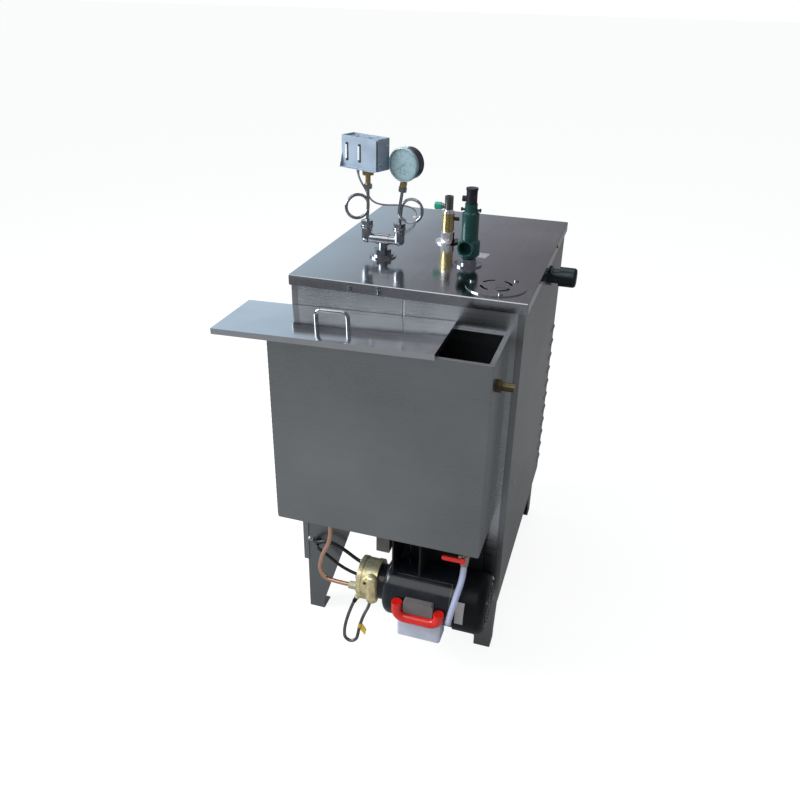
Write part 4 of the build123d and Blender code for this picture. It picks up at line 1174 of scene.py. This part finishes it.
class BOILER_OT_fasteners(bpy.types.Operator):
    """Screws on the sheets, bolts on the legs, grommets, and the hatch's line and the pale patch on the
    cover.
    """

    bl_idname = "boiler.fasteners"
    bl_label = "Screws, bolts and grommets"

    def execute(self, context):
        self.hatch()
        self.sheet_screws()
        self.leg_bolts()
        self.grommets()
        return {"FINISHED"}

    def hatch(self):
        """A thin round line pressed in the hatch plate, and a pale patch on the cover beside the safety
        valve.
        """
        plate_top = frame_at(at(HATCH_X, HATCH_Y, end_of("hatch_plate", 2, HIGH)))
        line = [(11.3, -0.1), (11.3, 0.08), (12.2, 0.08), (12.2, -0.1)]
        turned_piece("hatch_line", line, plate_top, "hatch_mark", 48, (13, -9))
        corners = [(0, 0), (20, -2), (24, 28), (2, 30)]
        place = frame_at(at(81, 227, COVER_TOP))
        plate_piece("cover_tape", corners, -0.05, 0.35, 0.15, place, "tape")

    def screws(self, name, frames):
        """Domed heads, each with a black cross that is painted shade in its recess."""
        radius = sizes().screw / 2
        height = radius * 0.52
        heads = bmesh.new()
        crosses = bmesh.new()
        for place in frames:
            head = bmesh.new()
            domed(head, (0, 0), radius)
            merge(heads, head, place)
            # Black cross: painted shade in the screw's recess.
            cross = bmesh.new()
            for turn in (0.4, 0.4 + math.pi / 2):
                bar = rounded(radius * 0.95, radius * 0.24, radius * 0.05, (0, 0), 2, turn)
                plate(cross, bar, height - 0.2, height + 0.06)
            merge(crosses, cross, place)
        piece_of(name, heads, IN_PLACE, "screw_steel")
        piece_of(name + "_crosses", crosses, IN_PLACE, "slot_black")

    def sheet_screws(self):
        """Screws of the side panels and the rear panel, and the dark one in the cover's right lip."""
        frames = []
        for y, z in ((463, 403), (468, 781), (60, 781), (60, 403)):
            frames.append(frame_at(at(SIDE_RIGHT, y, z), BACK, UP))
            frames.append(frame_at(at(-SIDE_RIGHT, y, z), AHEAD, UP))
        self.screws("side_screws", frames)
        rear = end_of("rear_panel", 1, HIGH)
        frames = []
        for x in (-195, 0, 195):
            for z in (300, 770):
                frames.append(frame_at(at(x, rear, z), LEFT, UP))
        self.screws("rear_screws", frames)
        lip = frame_at(at(end_of("top_cover", 0, HIGH), 375, COVER_TOP - 6), BACK, UP)
        form = bmesh.new()
        domed(form, (0, 0), 3.2)
        piece_of("lip_screw", form, lip, "lead_black")

    def leg_bolts(self):
        """A domed head on a washer, at the top of each leg's front or rear face."""
        radius = sizes().bolt / 2
        neck = radius * 0.72
        dome = [(neck, 1.0)]
        for step in range(1, 7):
            angle = math.pi / 2 * step / 6
            dome.append((neck * math.cos(angle), 1.0 + radius * 0.55 * math.sin(angle)))
        form = bmesh.new()
        for y, right in ((LEG_FRONT, RIGHT), (end_of("leg_rear_left", 1, HIGH), LEFT)):
            for x in (-BOLT_X, BOLT_X):
                bolt = bmesh.new()
                turned(bolt, [(0, 0), (radius, 0), (radius, 0.8), (neck, 1.0)], segments=36)
                turned(bolt, dome, segments=36)
                merge(form, bolt, frame_at(at(x, y, BOLT_Z), right, UP))
        piece_of("leg_bolts", form, IN_PLACE, "zinc")

    def grommets(self):
        """A rubber grommet where the leads enter the leg, and a gland where the cable enters, whose pale
        colour is a painted highlight.
        """
        rubber = [(0, 0), (11, 0), (11, 1.2), (9.6, 2.4), (7.6, 1.6), (0, 1.2)]
        place = frame_at(at(-188, LEG_FRONT, 193), RIGHT, UP)
        turned_piece("lead_grommet", rubber, place, "black")
        # The gland's pale colour is a painted highlight at the cable's end.
        gland = [(0, 0), (7.0, 0), (7.0, 1.0), (5.8, 2.2), (3.0, 2.6), (2.1, 2.0), (0, 2.0)]
        turned_piece("cable_gland", gland, frame_at(at(-116, 472, COVER_TOP)), "tape")


class BOILER_OT_cabinet(bpy.types.Operator):
    """Seam of the front panel and weld beads of the tank."""

    bl_idname = "boiler.cabinet"
    bl_label = "Cabinet and tank seams"

    def execute(self, context):
        self.seam()
        self.welds()
        return {"FINISHED"}

    def seam(self):
        """The gap between the front panel's halves, and the raised fold beside it, whose pale colour is a
        painted highlight.
        """
        place = frame_at(at(-0.5, PANEL_FRONT, 765), RIGHT, UP)
        gap = rounded(1.6, 47, 0.3, (-0.9, 0))
        fold = rounded(2.0, 47, 0.5, (1.1, 0))
        plate_piece("seam_gap", gap, -0.2, 0.08, 0, place, "slot_black")
        # Pale raised strip: a painted highlight along the fold.
        plate_piece("seam_fold", fold, -0.2, 0.7, 0.35, place, "fold_light")

    def welds(self):
        """A low rippled bead up each front corner of the tank."""
        low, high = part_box("tank_shell")
        steps = 150
        inset = 0.0009
        spare = 0.004

        def radius(travelled, angle):
            return (1.0 + 0.18 * math.sin(travelled / MM * 1.9)) * MM

        form = bmesh.new()
        for x in (low.x + inset, high.x - inset):
            line = []
            for step in range(steps + 1):
                z = low.z + spare + (high.z - low.z - 2 * spare) * step / steps
                line.append(Vector((x, low.y + inset, z)))
            closed_sleeve(form, line, radius, 10)
        piece_of("tank_welds", form, IN_PLACE, "steel_upright", 70)


class BOILER_OT_motor(bpy.types.Operator):
    """Wrapper line with its painted highlight, blank sticker, fan grille and end screws of the motor, and a
    black sheet of painted shade behind it.
    """

    bl_idname = "boiler.motor"
    bl_label = "Motor"

    def execute(self, context):
        self.line()
        self.wrap_piece("motor_blank", [(156, 173, -9, 35)], COWL_SKIN, 0.5, "sticker", "grey_plastic")
        self.cowl = axis_frame(at(COWL_END, MOTOR_Y, MOTOR_Z), RIGHT)
        self.grille()
        self.screws()
        self.shield()
        return {"FINISHED"}

    def barrel(self, x, angle, radius):
        """A point on the barrel: the angle goes up from the front."""
        turn = math.radians(angle)
        return at(x, MOTOR_Y - radius * math.cos(turn), MOTOR_Z + radius * math.sin(turn))

    def wrap(self, form, x_low, x_high, low, high, radius, depth):
        """Adds a thin curved strip on the barrel."""
        steps = max(1, int(abs(high - low) / 3))
        runs = []
        for x in (x_low, x_high):
            for reach in (radius, radius + depth):
                run = []
                for step in range(steps + 1):
                    run.append(form.verts.new(self.barrel(x, low + (high - low) * step / steps, reach)))
                runs.append(run)
        near_in, near_out, far_in, far_out = runs
        for step in range(steps):
            form.faces.new((near_out[step], near_out[step + 1], far_out[step + 1], far_out[step]))
            form.faces.new((near_in[step], near_out[step], near_out[step + 1], near_in[step + 1]))
            form.faces.new((far_in[step], far_in[step + 1], far_out[step + 1], far_out[step]))
        for step in (0, steps):
            form.faces.new((near_in[step], far_in[step], far_out[step], near_out[step]))

    def wrap_piece(self, name, strips, radius, depth, material, slot):
        """A piece of thin strips on the barrel, each from one x and angle to another."""
        form = bmesh.new()
        for x_low, x_high, low, high in strips:
            self.wrap(form, x_low, x_high, low, high, radius, depth)
        piece_of(name, form, IN_PLACE, material, 30)

    def line(self):
        """The wrapper's edge along the barrel and down its end, as a raised strip whose pale colour is a
        painted highlight on that edge.
        """
        strips = [(26, 141, 63.3, 65.0), (140.4, 141.9, 22, 65.0)]
        self.wrap_piece("motor_line", strips, BARREL_SKIN, 0.7, "motor_line", "motor_paint")

    def grille(self):
        """Rings and spokes on the cowl's end, over a black disc that is painted shade inside the cowl."""
        well = [(0, -0.2), (38, -0.2), (38, 0.1), (0, 0.1)]
        # Black disc: painted shade inside the cowl, seen between the rings.
        turned_piece("cowl_well", well, self.cowl, "slot_black", 64)
        form = bmesh.new()
        for radius in (10, 17, 24, 31, 38):
            low, high = radius - 1.3, radius + 1.3
            ring = [(low, 0), (low, 1.0), (low + 0.4, 1.4), (high - 0.4, 1.4), (high, 1.0), (high, 0)]
            turned(form, ring, segments=64)
        for step in range(8):
            turn = math.tau * step / 8
            plate(form, rounded(30, 2.6, 0.6, polar(24, turn), 2, turn), 0, 1.2, 0.3)
        turned(form, [(0, 0), (6.5, 0), (6.5, 1.2), (5.8, 1.8), (0, 1.8)], segments=36)
        piece_of("cowl_grille", form, self.cowl, "motor_enamel")

    def screws(self):
        """Four long screws round the cowl's end."""
        form = bmesh.new()
        for step in range(4):
            domed(form, polar(42.0, math.tau * (step + 0.5) / 4), 2.4)
        piece_of("cowl_screws", form, self.cowl, "screw_steel")

    def shield(self):
        """A black sheet behind the motor, painted shade under the tank, with two pale strips on it."""
        low, top = 214, end_of("motor_bracket", 2, HIGH)
        place = frame_at(at(98, end_of("motor_bracket", 1, HIGH), (low + top) / 2), RIGHT, UP)
        sheet = rounded(176, top - low, 2)
        # A black sheet of painted shade, where the shade under the tank falls.
        plate_piece("motor_shade_sheet", sheet, -2.0, 0.0, 0.3, place, "bracket_black")
        form = bmesh.new()
        for x in (-63, -31):
            plate(form, rounded(1.4, top - low - 4, 0.3, (x, 0)), -0.1, 0.8, 0.3)
        piece_of("shade_sheet_strips", form, place, "zinc")


class BOILER_OT_pump(bpy.types.Operator):
    """Bolts, front boss, plug and sealing ring of the pump, and the tag on its hose."""

    bl_idname = "boiler.pump"
    bl_label = "Pump"

    def execute(self, context):
        self.bolts()
        self.front()
        self.tag()
        return {"FINISHED"}

    def bolts(self):
        """Six nuts with their bolt ends, round the pump's left face."""
        form = bmesh.new()
        for step in range(6):
            centre = polar(36.0, math.tau * (step + 0.5) / 6)
            plate(form, hexagon(3.6, centre, 0.2), 0, 2.6, 0.4)
            turned(form, [(0, 2.6), (1.8, 2.6), (1.8, 3.8), (1.2, 4.1), (0, 4.1)], centre, 20)
        place = axis_frame(at(PUMP_FACE, MOTOR_Y, PUMP_Z), LEFT)
        piece_of("pump_bolts", form, place, "screw_steel")

    def front(self):
        """The upright boss cast on the front, a black hexagon of painted shade in the plug's socket, and a
        red-brown ring at the port.
        """
        boss = [(0, 148), (9, 148), (12, 151), (12.5, 160), (12.5, 203), (11.5, 210), (8, 214), (0, 216)]
        turned_piece("pump_boss", boss, frame_at(at(-27, -91, 0)), "pump_brass", sharp=50)
        # Black hexagon on the plug's end: painted shade in its socket.
        socket = [(0, 0), (3.6, 0), (3.6, 0.12), (0, 0.12)]
        place = axis_frame(at(-39.3, -102.0, 200), AHEAD)
        turned_piece("plug_socket", socket, place, "slot_black", 6)
        ring = [(0, 0), (6.6, 0), (7.0, 0.8), (7.0, 3.4), (6.6, 4.2), (0, 4.2)]
        turned_piece("port_ring", ring, axis_frame(at(-72.4, -63, 152), RIGHT), "wax_red", 36)

    def tag(self):
        """A folded strip round the hose with its two ends standing off."""
        line = line_of(BRAIDED_HOSE, BRAID_STEP)
        goal = at(-56.5, -88.5, 68)
        index = min(range(len(line)), key=lambda i: (line[i] - goal).length)

        def radius(travelled, angle):
            return (4.1 + 0.15 * math.cos(angle * 2)) * MM

        sleeve_piece("tag_band", line[index - 7:index + 8], radius, "tag_yellow", 20)
        side = (line[index + 1] - line[index - 1]).normalized()
        away = Vector((0.80, -0.25, -0.55)).normalized()
        thick = side.cross(away).normalized() * 0.9 * MM
        steps = 12
        form = bmesh.new()
        rows = []
        for step in range(steps + 1):
            share = step / steps
            bend = Vector((0, 0, -1)) * (share ** 2) * 2.2 * MM
            place = line[index] + away * (3.0 + 15.0 * share) * MM + bend
            half = (7.4 - 1.0 * share) * MM
            rows.append([
                form.verts.new(place - side * half - thick), form.verts.new(place + side * half - thick),
                form.verts.new(place + side * half + thick), form.verts.new(place - side * half + thick),
            ])
        walls(form, rows)
        caps(form, rows)
        piece_of("tag_strip", form, IN_PLACE, "tag_yellow")


class BOILER_OT_fittings(bpy.types.Operator):
    """Bands, washer, screws, bore and thread of the fittings on the cover and the tank."""

    bl_idname = "boiler.fittings"
    bl_label = "Fittings"

    def execute(self, context):
        self.bands()
        self.bore()
        self.knob()
        self.safety_valve()
        self.thread()
        return {"FINISHED"}

    def bands(self):
        """Rolled bands round the two upright sockets of the manifold."""
        band = [(10.2, 0), (11.9, 0.5), (12.5, 2.0), (12.5, 5.0), (11.9, 6.5), (10.2, 7.0)]
        middle = (end_of("manifold", 0, LOW) + end_of("manifold", 0, HIGH)) / 2
        form = bmesh.new()
        for x in (-33.5, 33.5):
            turned(form, band, (x, 0), 48)
        place = frame_at(at(middle, 169, end_of("manifold", 2, HIGH) - 8))
        piece_of("socket_bands", form, place, "bright_tube", 50)

    def bore(self):
        """A black disc some way down the safety valve's outlet bore: painted shade deep in the bore."""
        place = axis_frame(OUTLET_MOUTH - OUTLET_WAY * 0.013, OUTLET_WAY)
        end = [(0, 0.4), (12.3, 0.4), (12.3, 0), (0, 0)]
        turned_piece("bore_end", end, place, "slot_black")

    def knob(self):
        """A pale washer on the steam valve's knob."""
        washer = [(0, 0), (6.4, 0), (6.4, 1.6), (5.4, 2.2), (0, 2.2)]
        place = axis_frame(at(-13.2, 310, 881), RIGHT)
        turned_piece("knob_washer", washer, place, "bright_tube", 32)

    def safety_valve(self):
        """A screw on each shoulder of the safety valve."""
        form = bmesh.new()
        for x, out in ((60.5, LEFT), (93.5, RIGHT)):
            screw = bmesh.new()
            turned(screw, [(0, 0), (3.4, 0), (3.6, 0.8), (3.6, 2.2), (3.0, 2.8), (0, 2.9)], segments=24)
            merge(form, screw, axis_frame(at(x, 175, 914), out))
        piece_of("shoulder_screws", form, IN_PLACE, "cap_black")

    def thread(self):
        """Thread on the tank outlet's end."""
        low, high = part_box("tank_outlet")
        middle = (low + high) / 2
        steps = 160
        line = []
        for step in range(steps):
            x = high.x - 0.0015 - step / steps * 0.008
            line.append(Vector((x, *polar(0.0062, math.tau * step / 20, (middle.y, middle.z)))))
        sleeve_piece("outlet_thread", line, even_width(0.45), "tarnished", 6, 70)


class BOILER_PT_sidebar(bpy.types.Panel):
    """Lists the steps in order."""

    bl_idname = "BOILER_PT_sidebar"
    bl_label = "Boiler"
    bl_space_type = "VIEW_3D"
    bl_region_type = "UI"
    bl_category = "Boiler"

    def draw(self, context):
        for operator in STEPS:
            self.layout.operator(operator.bl_idname)


STEPS = (
    BOILER_OT_stage,
    BOILER_OT_cords,
    BOILER_OT_finishes,
    BOILER_OT_gauge,
    BOILER_OT_switch,
    BOILER_OT_fasteners,
    BOILER_OT_cabinet,
    BOILER_OT_motor,
    BOILER_OT_pump,
    BOILER_OT_fittings,
)
GROUPS = (BoilerStudio, BoilerColours, BoilerSizes)


def register():
    for group in GROUPS + STEPS + (BOILER_PT_sidebar,):
        bpy.utils.register_class(group)
    bpy.types.Scene.boiler_studio = PointerProperty(type=BoilerStudio)
    bpy.types.Scene.boiler_colours = PointerProperty(type=BoilerColours)
    bpy.types.Scene.boiler_sizes = PointerProperty(type=BoilerSizes)


def unregister():
    del bpy.types.Scene.boiler_sizes
    del bpy.types.Scene.boiler_colours
    del bpy.types.Scene.boiler_studio
    for group in reversed(GROUPS + STEPS + (BOILER_PT_sidebar,)):
        bpy.utils.unregister_class(group)


def main():
    register()
    for operator in STEPS:
        group, name = operator.bl_idname.split(".")
        getattr(getattr(bpy.ops, group), name)()


if __name__ == "__main__":
    main()
